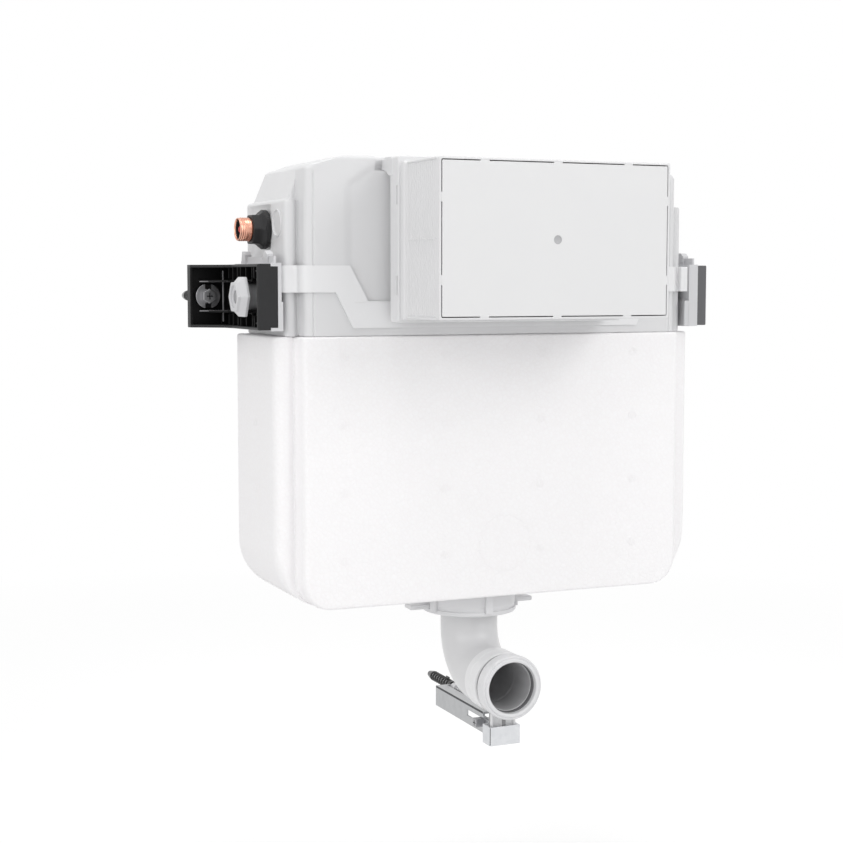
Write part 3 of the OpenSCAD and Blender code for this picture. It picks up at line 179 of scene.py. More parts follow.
def flakes(place, scale, uneven):
    """A level of its own for each cell."""
    colour = cells(place, scale, uneven, "F1", "Color")
    return place.node("ShaderNodeSeparateColor", None, {"Color": colour}, 0)


def relief(place, height, depth_mm, strength, under=None):
    """A bump whose full height is depth_mm, over another bump where one is given."""
    sockets = {"Height": height, "Strength": strength, "Distance": depth_mm * MM}
    if under is not None:
        sockets["Normal"] = under
    return place.node("ShaderNodeBump", None, sockets)


def milky(weight, reach):
    """The sockets of a plastic or foam that light enters to a reach in metres."""
    return {"Subsurface Weight": weight, "Subsurface Radius": (reach, reach, reach),
            "Subsurface Scale": 1.0}


def moulded(name, colour, shade, roughness, grain_mm, grain_depth, constants):
    """A moulded plastic: faint blotches of colour, a fine grain and long flow waves."""
    finish, place = new_finish(name)
    blotch = noise(place, 38, 2.0)
    grain = noise(place, grain_mm, 4.0, 0.6)
    wave = noise(place, 22, 1.0)
    tone = tinted(place, (blotch * 0.75 + grain * 0.25).clamped(), paint(*shade), paint(*colour))
    rough = roughness - 0.06 + wave * 0.08 + grain * 0.06
    normal = relief(place, wave, 0.25, 0.5, relief(place, grain, grain_depth, 0.8))
    return close_finish(finish, place, tone, rough, normal, constants)


def zinc(name, dull, bright):
    """Zinc-plated steel: drawn lines, cloudy spangle and fine scuffs."""
    finish, place = new_finish(name)
    squeezed = place.node("ShaderNodeMapping", None, {"Vector": place, "Scale": (1, 0.06, 1)})
    drawn = squeezed.node("ShaderNodeTexNoise", {"noise_dimensions": "3D"},
                          {"Vector": squeezed, "Scale": 2600, "Detail": 3.0}, "Fac")
    flake = flakes(place, 210, 1.0)
    cloud = noise(place, 9, 3.0)
    tone = tinted(place, (flake * 0.4 + cloud * 0.6).clamped(), paint(*dull), paint(*bright))
    rough = 0.24 + flake * 0.05 + drawn * 0.14
    return close_finish(finish, place, tone, rough, relief(place, drawn, 0.02, 0.6),
                        {"Metallic": 1.0})


def rubber(name, colour, shade):
    """Moulded rubber: dull, with dust in its pores."""
    finish, place = new_finish(name)
    pore = noise(place, 0.5, 4.0, 0.65)
    dust = noise(place, 7, 3.0)
    tone = tinted(place, (dust * 0.8 + pore * 0.2).clamped(), paint(*shade), paint(*colour))
    return close_finish(finish, place, tone, 0.62 + pore * 0.2, relief(place, pore, 0.05, 0.6), {})


def foam_finish():
    """Expanded polystyrene: beads of about 4 mm pressed flat against each other."""
    finish, place = new_finish("foam_beads")
    bead_scale, bead_uneven = 235, 0.85
    warp = place.node("ShaderNodeTexNoise", {"noise_dimensions": "3D"},
                      {"Vector": place, "Scale": 160, "Detail": 1.0}, "Color")
    moved = place.node("ShaderNodeVectorMath", {"operation": "MULTIPLY_ADD"},
                       {0: warp, 1: (0.0016, 0.0016, 0.0016), 2: place})
    bead = cells(moved, bead_scale, bead_uneven, "DISTANCE_TO_EDGE", "Distance")
    lift = flakes(moved, bead_scale, bead_uneven)
    height = ramp(place, bead, [(0.0, 0.0), (0.1, 0.62), (0.32, 0.95), (0.5, 1.0)])
    pit = noise(place, 0.7, 2.0)
    cloud = noise(place, 30, 3.0)
    tone = tinted(place, (height * 0.7 + cloud * 0.25 + lift * 0.1).clamped(),
                  paint(252, 250, 251), paint(255, 254, 255))
    rough = 0.82 + pit * 0.12 - lift * 0.1
    normal = relief(place, height * 0.8 + lift * 0.35, 0.24, 0.7, relief(place, pit, 0.05, 0.5))
    return close_finish(finish, place, tone, rough, normal,
                        {"Specular IOR Level": 0.3, **milky(0.12, 0.004)})


def bracket_finish():
    """Glass-filled black plastic with pale fibre specks: grey on the outside, painted shade in deep
    black inside the boxed ribs, and a painted sheen of paler grey on the right bracket's front."""
    finish, place = new_finish("bracket_black")
    lit_front_y, shade_start_y, shade_half_z = -0.1222, -0.1188, 0.0262
    x, y, z = (along(place, axis) for axis in range(3))
    # painted light: a paler sheen on the right bracket's front face
    front = ((lit_front_y - y) * 3000).clamped() * (x * 1000).clamped()
    # painted shade: deep black inside the boxed ribs
    inside = (((shade_half_z - z.maths("ABSOLUTE", z)) * 3000).clamped()
              * ((y - shade_start_y) * 3000).clamped())
    fibre = noise(place, 0.55, 5.0, 0.7)
    speck = ramp(place, fibre, [(0.0, 0.0), (0.62, 0.0), (0.72, 1.0), (1.0, 1.0)])
    cloud = noise(place, 12, 2.0)
    outer_grey = tinted(place, cloud, paint(42, 42, 43), paint(50, 50, 51))
    # the near-black colour of the painted shade inside the boxed ribs
    black = tinted(place, cloud, paint(5, 5, 5), paint(8, 8, 9))
    plain = tinted(place, front, tinted(place, inside, outer_grey, black), paint(104, 104, 106))
    tone = tinted(place, speck * (0.1 - inside * 0.07), plain, paint(70, 70, 72))
    return close_finish(finish, place, tone, 0.4 + cloud * 0.12 - speck * 0.08,
                        relief(place, fibre, 0.05, 0.7), {"Specular IOR Level": 0.22})


def copper_finish():
    """Bright red brass: turning lines round the axis and a slight bloom."""
    finish, place = new_finish("red_brass")
    lines = bands(place, "X", 900, 0.6)
    bloom = noise(place, 5, 4.0)
    tone = tinted(place, bloom, paint(218, 154, 130), paint(240, 192, 170))
    return close_finish(finish, place, tone, 0.25 + bloom * 0.06 + lines * 0.05,
                        relief(place, lines, 0.012, 0.6), {"Metallic": 1.0})


def brass_finish():
    """Machined yellow brass with a bloom and a fine grain."""
    finish, place = new_finish("machined_brass")
    bloom = noise(place, 4, 4.0)
    grain = noise(place, 0.4, 2.0)
    tone = tinted(place, bloom, paint(196, 164, 96), paint(222, 194, 128))
    return close_finish(finish, place, tone, 0.24 + bloom * 0.18, relief(place, grain, 0.012, 0.5),
                        {"Metallic": 1.0})


def hose_finish():
    """Braided steel hose: strands that cross over and under at a slant."""
    finish, place = new_finish("braided_hose")
    leaning = place.node("ShaderNodeMapping", None, {"Vector": place, "Rotation": (0, 1.5708, 0)})
    over, under = bands(place, "DIAGONAL", 190), bands(leaning, "DIAGONAL", 190)
    weave = over.maths("MAXIMUM", over, under)
    tone = tinted(place, weave, paint(120, 122, 126), paint(206, 208, 210))
    return close_finish(finish, place, tone, 0.32 + weave * 0.1, relief(place, weave, 0.3, 0.8),
                        {"Metallic": 0.9})


def elbow_finish():
    """The bend's plastic: its drawn sleeve in front of the elbow is painted a shade whiter and the
    elbow behind it darker, as painted light and shade, and the groove at the sleeve's end is grey
    with painted shade."""
    finish, place = new_finish("elbow_plastic")
    sleeve_y, groove_start, groove_end = -0.1209, -0.1438, -0.1466
    y = along(place, 1)
    # painted light: the sleeve is whiter than the elbow
    sleeve = ((sleeve_y - y) * 2500).clamped()
    # painted shade in the groove at the sleeve's end
    groove = ((groove_start - y) * 4000).clamped() * ((y - groove_end) * 4000).clamped()
    grain = noise(place, 0.9, 4.0, 0.6)
    # painted shade: the elbow behind the sleeve is darker
    elbow = tinted(place, noise(place, 38, 2.0), paint(217, 217, 218), paint(222, 222, 223))
    tone = tinted(place, groove, tinted(place, sleeve, elbow, paint(233, 233, 234)),
                  paint(140, 140, 142))
    return close_finish(finish, place, tone, 0.3 + grain * 0.08, relief(place, grain, 0.02, 0.8),
                        {"Coat Weight": 0.12})


# Moulded plastics: name, colour, shade, roughness, grain in millimetres, its depth, constants
MOULDED = {
    "tank": ("blown_tank", (227, 227, 228), (222, 222, 223), 0.42, 1.1, 0.06,
             {"Specular IOR Level": 0.42, **milky(0.06, 0.006)}),
    "holder": ("holder_plastic", (215, 215, 217), (208, 208, 210), 0.38, 0.8, 0.04, {}),
    # collar: the collars' grey, which also paints the highlights on the brackets' rib edges and the
    # shade on the stud ends
    "collar": ("collar_grey", (158, 158, 160), (146, 146, 148), 0.36, 0.6, 0.03, {}),
    # strap: the tank's plastic made whiter, as painted light on the strap that stands out towards
    # the lamps
    "strap": ("strap_lit_white", (238, 238, 239), (234, 234, 235), 0.34, 0.9, 0.04,
              {"Coat Weight": 0.1}),
    "box": ("box_plastic", (230, 230, 231), (225, 225, 226), 0.4, 0.7, 0.035, {}),
    "cover": ("cover_plastic", (231, 231, 231), (228, 228, 229), 0.36, 0.6, 0.03, {}),
    "mark": ("mark_grey", (186, 186, 188), (178, 178, 180), 0.4, 0.5, 0.03, {}),
    # bore: a darker grey skin inside the bend's bore, as painted shade
    "bore": ("bore_shade_grey", (196, 196, 197), (186, 186, 188), 0.34, 0.9, 0.02, {}),
    "plug": ("plug_nylon", (22, 22, 23), (15, 15, 16), 0.24, 0.6, 0.02,
             {"Coat Weight": 0.3, "Specular IOR Level": 0.3}),
    "strainer": ("strainer_red", (206, 44, 36), (190, 34, 28), 0.34, 0.5, 0.02, {}),
    "blue_plastic": ("lever_blue", (54, 118, 196), (44, 104, 182), 0.33, 0.6, 0.025, {}),
    "green_plastic": ("lever_green", (84, 162, 98), (70, 148, 84), 0.33, 0.6, 0.025, {}),
    "valve_white": ("valve_white", (232, 232, 233), (226, 226, 228), 0.3, 0.7, 0.025,
                    {"Coat Weight": 0.1}),
    "pipe": ("bend_plastic", (228, 228, 229), (223, 223, 225), 0.3, 0.9, 0.02,
             {"Coat Weight": 0.12, **milky(0.05, 0.005)}),
}
# Zinc-plated steels: name, dull and bright colour
ZINC = {
    "zinc_steel": ("zinc_plate", (204, 206, 209), (220, 221, 223)),
    "arm_steel": ("arm_steel", (170, 171, 173), (188, 189, 190)),
    "dull_steel": ("dull_steel", (158, 158, 160), (176, 176, 178)),
    # dark_steel paints shade and dark reflection: the strips along the arm's and clip's folds and
    # the bottoms of the screws' cross recesses
    "dark_steel": ("dark_steel", (52, 53, 55), (66, 67, 69)),
}
FINISHES = {
    "foam": foam_finish(), "black_plastic": bracket_finish(), "copper_brass": copper_finish(),
    "brass": brass_finish(), "hose": hose_finish(), "elbow": elbow_finish(),
    "black_rubber": rubber("black_rubber", (44, 44, 45), (30, 30, 31)),
    "grey_rubber": rubber("grey_rubber", (120, 120, 122), (104, 104, 106)),
    **{slot: moulded(*row) for slot, row in MOULDED.items()},
    **{slot: zinc(*row) for slot, row in ZINC.items()},
}


# Meshes, drawn in millimetres

def span(node):
    """The lowest and highest corner of a CAD node, in millimetres."""
    low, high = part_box(node)
    return low / MM, high / MM


def even(start, end, steps):
    """Values from start to end in even steps, both ends with them."""
    return [start + (end - start) * i / steps for i in range(steps + 1)]


def fine(start, end, size):
    """Values from start to end, about size apart."""
    return even(start, end, max(1, round(abs(end - start) / size)))


def chain(*stretches):
    """Stretches of values in one list, without the value that two of them share."""
    whole = list(stretches[0])
    for stretch in stretches[1:]:
        whole += stretch[1:]
    return whole


def eased(value, start, end):
    """0 before start, 1 after end, and a soft rise between them."""
    part = min(1.0, max(0.0, (value - start) / (end - start)))
    return part * part * (3 - 2 * part)


def turn(centre_x, centre_y, radius, start, end, steps, way=1):
    """Points of an arc about a centre, between two angles in degrees, flipped in x for way -1."""
    angles = [math.radians(a) for a in even(start, end, steps)]
    return [(centre_x + way * radius * math.cos(a), centre_y + radius * math.sin(a))
            for a in angles]


def oblong(half_x, half_y, radius, steps=4):
    """A rectangle with round corners about the origin."""
    x, y = half_x - radius, half_y - radius
    corners = ((x, y), (-x, y), (-x, -y), (x, -y))
    return [point for i, (corner_x, corner_y) in enumerate(corners)
            for point in turn(corner_x, corner_y, radius, 90 * i, 90 * (i + 1), steps)]


def regular(corners, flats, lean=0.0):
    """A regular polygon, given its width across flats."""
    radius = flats / 2 / math.cos(math.pi / corners)
    return turn(0, 0, radius, lean, lean + 360 - 360 / corners, corners - 1)


def filleted(points, radius, steps=4):
    """An outline whose corners are rounded, as far as its sides have room."""
    made = []
    for i, point in enumerate(points):
        here = Vector(point)
        back = Vector(points[i - 1]) - here
        ahead = Vector(points[(i + 1) % len(points)]) - here
        angle = back.angle(ahead)
        reach = min(radius / math.tan(angle / 2), 0.45 * back.length, 0.45 * ahead.length)
        first = here + back.normalized() * reach
        last = here + ahead.normalized() * reach
        for part in even(0, 1, steps):
            bend = first.lerp(here, part).lerp(here.lerp(last, part), part)
            made.append((bend.x, bend.y))
    return made


def inset(points, depth):
    """An outline that runs anticlockwise, moved inwards by depth."""
    made = []
    for i, point in enumerate(points):
        here = Vector(point)
        back = (here - Vector(points[i - 1])).normalized()
        ahead = (Vector(points[(i + 1) % len(points)]) - here).normalized()
        side = Vector((-back.y - ahead.y, back.x + ahead.x))
        scale = 2 * depth / max(side.length_squared, 0.3)
        made.append((here.x + side.x * scale, here.y + side.y * scale))
    return made


def welded(shape):
    """Merges doubled points."""
    bmesh.ops.remove_doubles(shape, verts=shape.verts, dist=0.0005)
    return shape


def outward(shape):
    """Turns all faces outwards."""
    bmesh.ops.recalc_face_normals(shape, faces=shape.faces)
    return shape


def strip(shape, near, far, gap=()):
    """Faces from one ring of points to the next, but for those in the gap."""
    for i in range(len(near)):
        j = (i + 1) % len(near)
        if i not in gap:
            shape.faces.new((near[i], near[j], far[j], far[i]))


def skin(rings, around=False):
    """A skin through rings of points; its ends are filled, or joined when it runs around."""
    shape = bmesh.new()
    rows = [[shape.verts.new(point) for point in ring] for ring in rings]
    for near, far in zip(rows, rows[1:]):
        strip(shape, near, far)
    if around:
        strip(shape, rows[-1], rows[0])
    else:
        shape.faces.new(rows[0])
        shape.faces.new(rows[-1])
    return outward(welded(shape))


FACING = {"x": Matrix(((0, 0, 1, 0), (1, 0, 0, 0), (0, 1, 0, 0), (0, 0, 0, 1))),
          "y": Matrix(((1, 0, 0, 0), (0, 0, 1, 0), (0, 1, 0, 0), (0, 0, 0, 1))),
          "z": Matrix.Identity(4)}


def placed(shape, axis, place):
    """Turns a shape drawn along z to an axis and moves it. Along x its plan is (y, z), along y it
    is (x, z)."""
    shape.transform(Matrix.Translation(place) @ FACING[axis])
    return outward(shape)


def turned(profile, axis="z", place=(0, 0, 0), steps=64):
    """A turned body from a closed profile of (radius, height) points."""
    rings = []
    for angle in even(0, 2 * math.pi, steps)[:-1]:
        rings.append([(r * math.cos(angle), r * math.sin(angle), h) for r, h in profile])
    return placed(skin(rings, True), axis, place)


def prism(outline, low, high, axis="z", edge=0.4, place=(0, 0, 0), steps=3):
    """An outline pulled from low to high, with both its rims rounded."""
    rings = [(edge * (1 - math.sin(a)), low + edge * (1 - math.cos(a)))
             for a in even(0, math.pi / 2, steps)]
    rings += [(inward, low + high - level) for inward, level in reversed(rings)]
    drawn = [[(x, y, level) for x, y in inset(outline, inward)] for inward, level in rings]
    return placed(skin(drawn), axis, place)


def bevel(shape, edges, width, segments=2, clamp=False):
    """Rounds edges of a shape."""
    bmesh.ops.bevel(shape, geom=edges, offset=width, offset_type="OFFSET", segments=segments,
                    profile=0.5, affect="EDGES", clamp_overlap=clamp)
    return shape


def slab(low, high, edge):
    """A block with rounded edges."""
    shape = bmesh.new()
    bmesh.ops.create_cube(shape, size=1)
    low, high = Vector(low), Vector(high)
    size = high - low
    shape.transform(Matrix.Translation((low + high) / 2) @ Matrix.Diagonal((*size, 1)))
    if edge:
        bevel(shape, shape.edges[:], min(edge, 0.45 * min(size)))
    return outward(shape)


def rod(axis, start, length, radius, edge=0.3, steps=48):
    """A round rod from start along an axis, with rounded rims."""
    profile = [(0, 0), (radius - edge, 0), (radius, edge), (radius, length - edge),
               (radius - edge, length), (0, length)]
    return turned(profile, axis, start, steps)


def on_left(shape):
    """A right-hand shape as its mirror image on the left."""
    shape.transform(Matrix.Scale(-1, 4, (1, 0, 0)))
    bmesh.ops.reverse_faces(shape, faces=shape.faces)
    return shape


def handed(shape, side):
    """A right-hand shape as it is for side 1, and as its mirror image for side -1."""
    return shape if side > 0 else on_left(shape)


def mirrored(shape):
    """A right-hand shape together with its mirror image."""
    return joined([shape, on_left(shape.copy())])


def mesh_from(shape, name="part"):
    """A shape as a mesh. The shape itself is used up."""
    mesh = bpy.data.meshes.new(name)
    shape.to_mesh(mesh)
    shape.free()
    return mesh


def joined(shapes):
    """One shape out of several."""
    whole = bmesh.new()
    for shape in shapes:
        part = mesh_from(shape)
        whole.from_mesh(part)
        bpy.data.meshes.remove(part)
    return whole


def thing(name, data):
    """An object in the scene that shows a mesh, a lamp or a camera."""
    made = bpy.data.objects.new(name, data)
    bpy.context.scene.collection.objects.link(made)
    return made


def outcome(host):
    """What an object's modifiers make of it, as a shape."""
    depsgraph = bpy.context.evaluated_depsgraph_get()
    mesh = bpy.data.meshes.new_from_object(host.evaluated_get(depsgraph))
    shape = bmesh.new()
    shape.from_mesh(mesh)
    bpy.data.meshes.remove(mesh)
    return shape


def cut(shape, tools):
    """A shape less the space of each tool."""
    body = thing("body", mesh_from(shape))
    knives = [thing("knife", mesh_from(tool)) for tool in tools]
    for knife in knives:
        step = body.modifiers.new("cut", "BOOLEAN")
        step.operation = "DIFFERENCE"
        step.solver = "EXACT"
        step.object = knife
    left = outcome(body)
    for used in [body] + knives:
        bpy.data.objects.remove(used)
    return left


# Making pieces

def grown(tree, finish, sizes):
    """Runs a geometry tree on an empty mesh and returns the shape that it makes."""
    host = thing("seed", bpy.data.meshes.new("seed"))
    step = host.modifiers.new("grow", "NODES")
    step.node_group = tree
    given = {**sizes, "Finish": FINISHES[finish]}
    for item in tree.interface.items_tree:
        if item.item_type == "SOCKET" and item.in_out == "INPUT":
            step[item.identifier] = given[item.name]
    shape = outcome(host)
    host.modifiers.remove(step)
    bpy.data.objects.remove(host)
    for face in shape.faces:
        face.material_index = 0
    return shape


def copy_of(node):
    """A merged copy of a CAD node in millimetres, its flat areas joined into single faces."""
    shape = bmesh.new()
    shape.from_mesh(frame["nodes"][node].data)
    shape.transform(Matrix.Scale(1 / MM, 4))
    bmesh.ops.remove_doubles(shape, verts=shape.verts, dist=0.002)
    bmesh.ops.dissolve_limit(shape, angle_limit=math.radians(0.4), verts=shape.verts,
                             edges=shape.edges)
    return shape


def soften(shape, width):
    """Rounds every edge of a shape that is sharper than CREASE."""
    sharp = [edge for edge in shape.edges if len(edge.link_faces) == 2
             and edge.calc_face_angle(0) > math.radians(CREASE)]
    return bevel(shape, sharp, width, clamp=True)


def piece(name, shape, node, crease=32, replaces=True, finish=None):
    """Makes a shape a piece that rides with a node's body and takes its finish."""
    shape.transform(Matrix.Scale(MM, 4))
    bmesh.ops.triangulate(shape, faces=[face for face in shape.faces if len(face.verts) > 4])
    mesh = mesh_from(shape, name)
    mesh.polygons.foreach_set("use_smooth", [True] * len(mesh.polygons))
    mesh.set_sharp_from_angle(angle=math.radians(crease))
    mesh.materials.append(FINISHES[finish or SLOT_OF[node]])
    made = thing(name, mesh)
    made.modifiers.new("shade", "WEIGHTED_NORMAL").keep_sharp = True
    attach(made, BODY_OF[node])
    if replaces:
        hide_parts(node)


def stand_in(node, shape, crease=32, finish=None):
    """A piece in a CAD node's place."""
    piece(node + "_dressed", shape, node, crease, True, finish)


def dress(node, width, extras=(), finish=None):
    """A CAD node's own shape with its edges rounded, and what is moulded on it."""
    stand_in(node, joined([soften(copy_of(node), width), *extras]), finish=finish)


def extra(name, shape, node, finish=None, crease=32):
    """A piece beside the one in a CAD node's place."""
    piece(name, shape, node, crease, False, finish)


# Repeats, grown by geometry nodes

class Growth:
    """A geometry tree with named inputs, begun empty and ended by give()."""

    def __init__(self, name, inputs):
        self.tree = bpy.data.node_groups.new(name, "GeometryNodeTree")
        doors = self.tree.interface
        for label, kind in {**inputs, "Finish": "Material"}.items():
            doors.new_socket(label, in_out="INPUT", socket_type="NodeSocket" + kind)
        doors.new_socket("Geometry", in_out="OUTPUT", socket_type="NodeSocketGeometry")
        self.start = self.tree.nodes.new("NodeGroupInput")

    def node(self, kind, sockets=None, settings=None):
        """Adds a node. A socket's value that is a word names an input of the tree."""
        wired = {key: Strand(self.tree, self.start.outputs[value])
                 if isinstance(value, str) else value for key, value in (sockets or {}).items()}
        return Strand(self.tree).node(kind, settings, wired)

    def line(self, count, start, step):
        """Points in a row, at even steps."""
        return self.node("GeometryNodeMeshLine",
                         {"Count": count, "Start Location": start, "Offset": step},
                         {"mode": "OFFSET"})

    def repeat(self, points, shape, scale=(1, 1, 1)):
        """A shape at each point."""
        return self.node("GeometryNodeInstanceOnPoints",
                         {"Points": points, "Instance": shape, "Scale": scale})

    def give(self, strand):
        """Ends the tree in real, finished geometry."""
        real = self.node("GeometryNodeRealizeInstances", {"Geometry": strand})
        done = self.node("GeometryNodeSetMaterial", {"Geometry": real, "Material": "Finish"})
        end = self.tree.nodes.new("NodeGroupOutput")
        self.tree.links.new(done.socket, end.inputs[0])
        return self.tree


def row_tree():
    """Bars in a row: a block of a size at each of a number of even steps."""
    row = Growth("bar_row", {"Count": "Int", "Start": "Vector", "Step": "Vector",
                             "Size": "Vector"})
    bar = row.node("GeometryNodeMeshCube", {"Size": "Size"})
    return row.give(row.repeat(row.line("Count", "Start", "Step"), bar))


def thread_tree():
    """A screw thread: a pointed ridge that winds along z."""
    thread = Growth("thread", {"Turns": "Float", "Radius": "Float", "Length": "Float",
                               "Ridge": "Float"})
    winding = thread.node("GeometryNodeCurveSpiral",
                          {"Resolution": 48, "Rotations": "Turns", "Start Radius": "Radius",
                           "End Radius": "Radius", "Height": "Length"})
    ridge = thread.node("GeometryNodeCurvePrimitiveCircle", {"Resolution": 4, "Radius": "Ridge"})
    return thread.give(thread.node("GeometryNodeCurveToMesh",
                                   {"Curve": winding, "Profile Curve": ridge, "Fill Caps": True}))


def vent_tree():
    """Marks of steam vents: round prints of thin upright bars in a grid."""
    vents = Growth("vent_marks", {"Across": "Int", "Down": "Int", "Start": "Vector",
                                  "Step Across": "Vector", "Step Down": "Vector",
                                  "Bar": "Vector", "Pitch": "Vector"})
    column = vents.line("Down", (0, 0, 0), "Step Down")
    grid = vents.repeat(vents.line("Across", "Start", "Step Across"), column)
    places = vents.node("GeometryNodeRealizeInstances", {"Geometry": grid})
    bars, middle = 6, 2.5
    first = vents.node("ShaderNodeVectorMath", {0: "Pitch", 1: (-middle, -middle, -middle)},
                       {"operation": "MULTIPLY"})
    bar = vents.node("GeometryNodeMeshCube", {"Size": "Bar"})
    from_middle = vents.node("GeometryNodeInputIndex") - middle
    height = vents.node("ShaderNodeMath", {0: 1.0 - from_middle * from_middle * 0.11},
                        {"operation": "SQRT"})
    tall = vents.node("ShaderNodeCombineXYZ", {"X": 1.0, "Y": 1.0, "Z": height})
    mark = vents.repeat(vents.line(bars, first, "Pitch"), bar, tall)
    return vents.give(vents.repeat(places, mark))


ROW_TREE = row_tree()
THREAD_TREE = thread_tree()
VENT_TREE = vent_tree()


def bar_row(count, start, step, size, finish, edge):
    """A row of bars with rounded edges."""
    shape = welded(grown(ROW_TREE, finish, {"Count": count, "Start": start, "Step": step,
                                            "Size": size}))
    return bevel(shape, shape.edges[:], edge)


def thread_on(axis, place, radius, length, turns, ridge, finish):
    """A screw thread on a core that starts at a place and runs along an axis."""
    shape = grown(THREAD_TREE, finish, {"Turns": turns, "Radius": radius, "Length": length,
                                        "Ridge": ridge})
    return placed(shape, axis, place)


def vents_on(across, down, start, step_across, step_down, bar, pitch):
    """A grid of vent marks with broken edges."""
    shape = welded(grown(VENT_TREE, "foam", {
        "Across": across, "Down": down, "Start": start, "Step Across": step_across,
        "Step Down": step_down, "Bar": bar, "Pitch": pitch}))
    return bevel(shape, shape.edges[:], 0.16, 1)


# The tank

TANK_LOW, TANK_HIGH = span("tank_shell")
JACKET_LOW, JACKET_HIGH = span("insulation_jacket")
STRAP_LOW = span("carrier_strap")[0]
BOX_LOW, BOX_HIGH = span("access_box")
TANK_WALL = 3.0
FRONT_Y = STRAP_LOW.y + 2.0
SHOULDER_Y = FRONT_Y + 14.0
FLANK_Y = SHOULDER_Y + 11.0
HALF_W = TANK_HIGH.x
BACK_Y = TANK_HIGH.y
FRONT_HALF = HALF_W - 14.0
CROWN_Z = TANK_HIGH.z
LOBE_Z = CROWN_Z - 38.0
RIM_Z = JACKET_HIGH.z + 0.1
NECK_HALF = 95.0
NECK_LOW = 1.0
NECK_TOP = 110.0
LOW_HALF = JACKET_HIGH.x - 21.2
LOW_INSET = 11.0
LOW_FRONT_INSET = 20.5
SIDE_STEPS = 66
# Radii of a plan: back corner, side corner, groove, raised front's corner, and the flute's depth
PLAN_RADII = (8.0, 4.0, 3.2, 6.0, 4.2)
CROWN_RADII = (8.0, 4.0, 2.0, 6.0, 0.4)
LOW_RADII = (8.0, 7.0, 3.0, 6.0, 2.4)
POCKET_HALF = 147.0
POCKET_DEPTH = 1.3
NOTCH_INNER = 105.2
NOTCH_OUTER = 121.0
NOTCH_DEPTH = 13.0
LINE_DEPTH = 0.7
FIELD_DEPTH = 2.2


def level_of(height, table):
    """The value at a height, from a table of (height, value) pairs that rises."""
    for (low, first), (high, last) in zip(table, table[1:]):
        if height <= high:
            return first + (last - first) * max(0.0, height - low) / (high - low)
    return table[-1][1]


def front_columns(flat):
    """Places across the raised front for its flat half width, from its edge to the middle. Those
    near the box stay where they are at every height."""
    full = FRONT_HALF - PLAN_RADII[3]
    fixed = NOTCH_OUTER + 5.0
    outside, within, inside = NOTCH_OUTER + 2.5, NOTCH_OUTER - 2.0, NOTCH_INNER + 2.3
    places = chain(fine(full, full - 4, 0.5), fine(full - 4, POCKET_HALF + 5, 2.4),
                   fine(POCKET_HALF + 5, POCKET_HALF - 6, 1.2), fine(POCKET_HALF - 6, outside, 3.0),
                   fine(outside, within, 0.5), fine(within, inside, 2.3),
                   fine(inside, NOTCH_INNER - 0.7, 0.5), fine(NOTCH_INNER - 0.7, NECK_HALF, 2.4),
                   fine(NECK_HALF, 0, 4.5))
    return [p if p < fixed else fixed + (p - fixed) * (flat - fixed) / (full - fixed)
            for p in places][1:]


# The flute beside the raised front: how far out and how deep, as shares of groove and flute
FLUTE = ((2.2, 0.0), (1.5, 0.3), (1.0, 0.75), (0.6, 1.0), (0.2, 0.8), (0.02, 0.2))


def half_plan(width, front_half, back, shoulder, front, radii, side_steps, columns):
    """The right half of a plan with a raised front, from the back's middle to the front's. A
    flute runs in the corner beside the raised front."""
    way = 1 if width > front_half else -1
    round_back, round_side, round_groove, round_front, flute = radii
    share = min(1.0, abs(width - front_half) / (round_side + 2.2 * round_groove))
    flute = flute * share if way > 0 else 0.0
    round_side, round_groove = round_side * share, round_groove * share
    points = [(part * (width - round_back), back) for part in even(0, 1, 24)[:-1]]
    points += turn(width - round_back, back - round_back, round_back, 90, 0, 5)
    points += [(width, y) for y in even(back - round_back, shoulder + round_side,
                                        side_steps)[1:-1]]
    points += turn(width - way * round_side, shoulder + round_side, round_side, 0, -90, 4, way)
    points += [(front_half + way * round_groove * out, shoulder + flute * dip)
               for out, dip in FLUTE]
    points += turn(front_half - round_front, front + round_front, round_front, 0, -90, 6)
    points += [(x, front) for x in columns(front_half - round_front)]
    return points


def whole_ring(half, height):
    """A ring at a height from the right half of a plan."""
    other = [(-x, y) for x, y in reversed(half[1:-1])]
    return [(x, y, height) for x, y in half + other]


def rounded_rise(low, high, foot, top, size):
    """Heights with the inset of each, for a body whose foot and top edges are rounded."""
    rise = [(low + foot * (1 - math.sin(a)), foot * (1 - math.cos(a)))
            for a in even(math.pi / 2, 0, 3)]
    rise += [(z, 0.0) for z in fine(low + foot, high - top, size)[1:-1]]
    return rise + [(high - top * (1 - math.sin(a)), top * (1 - math.cos(a)))
                   for a in even(0, math.pi / 2, 4)]


def tank_outline():
    """Tables of height against the half width of the tank's sides and of its raised front."""
    crown = [(CROWN_Z - 9, HALF_W - 20.5), (CROWN_Z - 2.2, HALF_W - 40), (CROWN_Z, HALF_W - 50)]
    lobe = [(z, x) for x, z in turn(HALF_W - 3, LOBE_Z - 3, 3, 0, 90, 4)]
    sides = [(RIM_Z, HALF_W)] + lobe + [(LOBE_Z + 1, HALF_W - 6.5),
                                        (CROWN_Z - 11, HALF_W - 17.5)] + crown
    front = [(RIM_Z, FRONT_HALF), (CROWN_Z - 12, FRONT_HALF), (CROWN_Z - 9, FRONT_HALF - 3)]
    return sides, front + crown[1:]


def pocket(x, z):
    """How deep the front is pressed in around the neck."""
    top = CROWN_Z - 23 + 17 * eased(POCKET_HALF - abs(x), 0, 31)
    across = eased(POCKET_HALF + 4.5 - abs(x), 0, 10)
    return POCKET_DEPTH * across * eased(top + 3.5 - z, 0, 8) * eased(z, -9, -5)


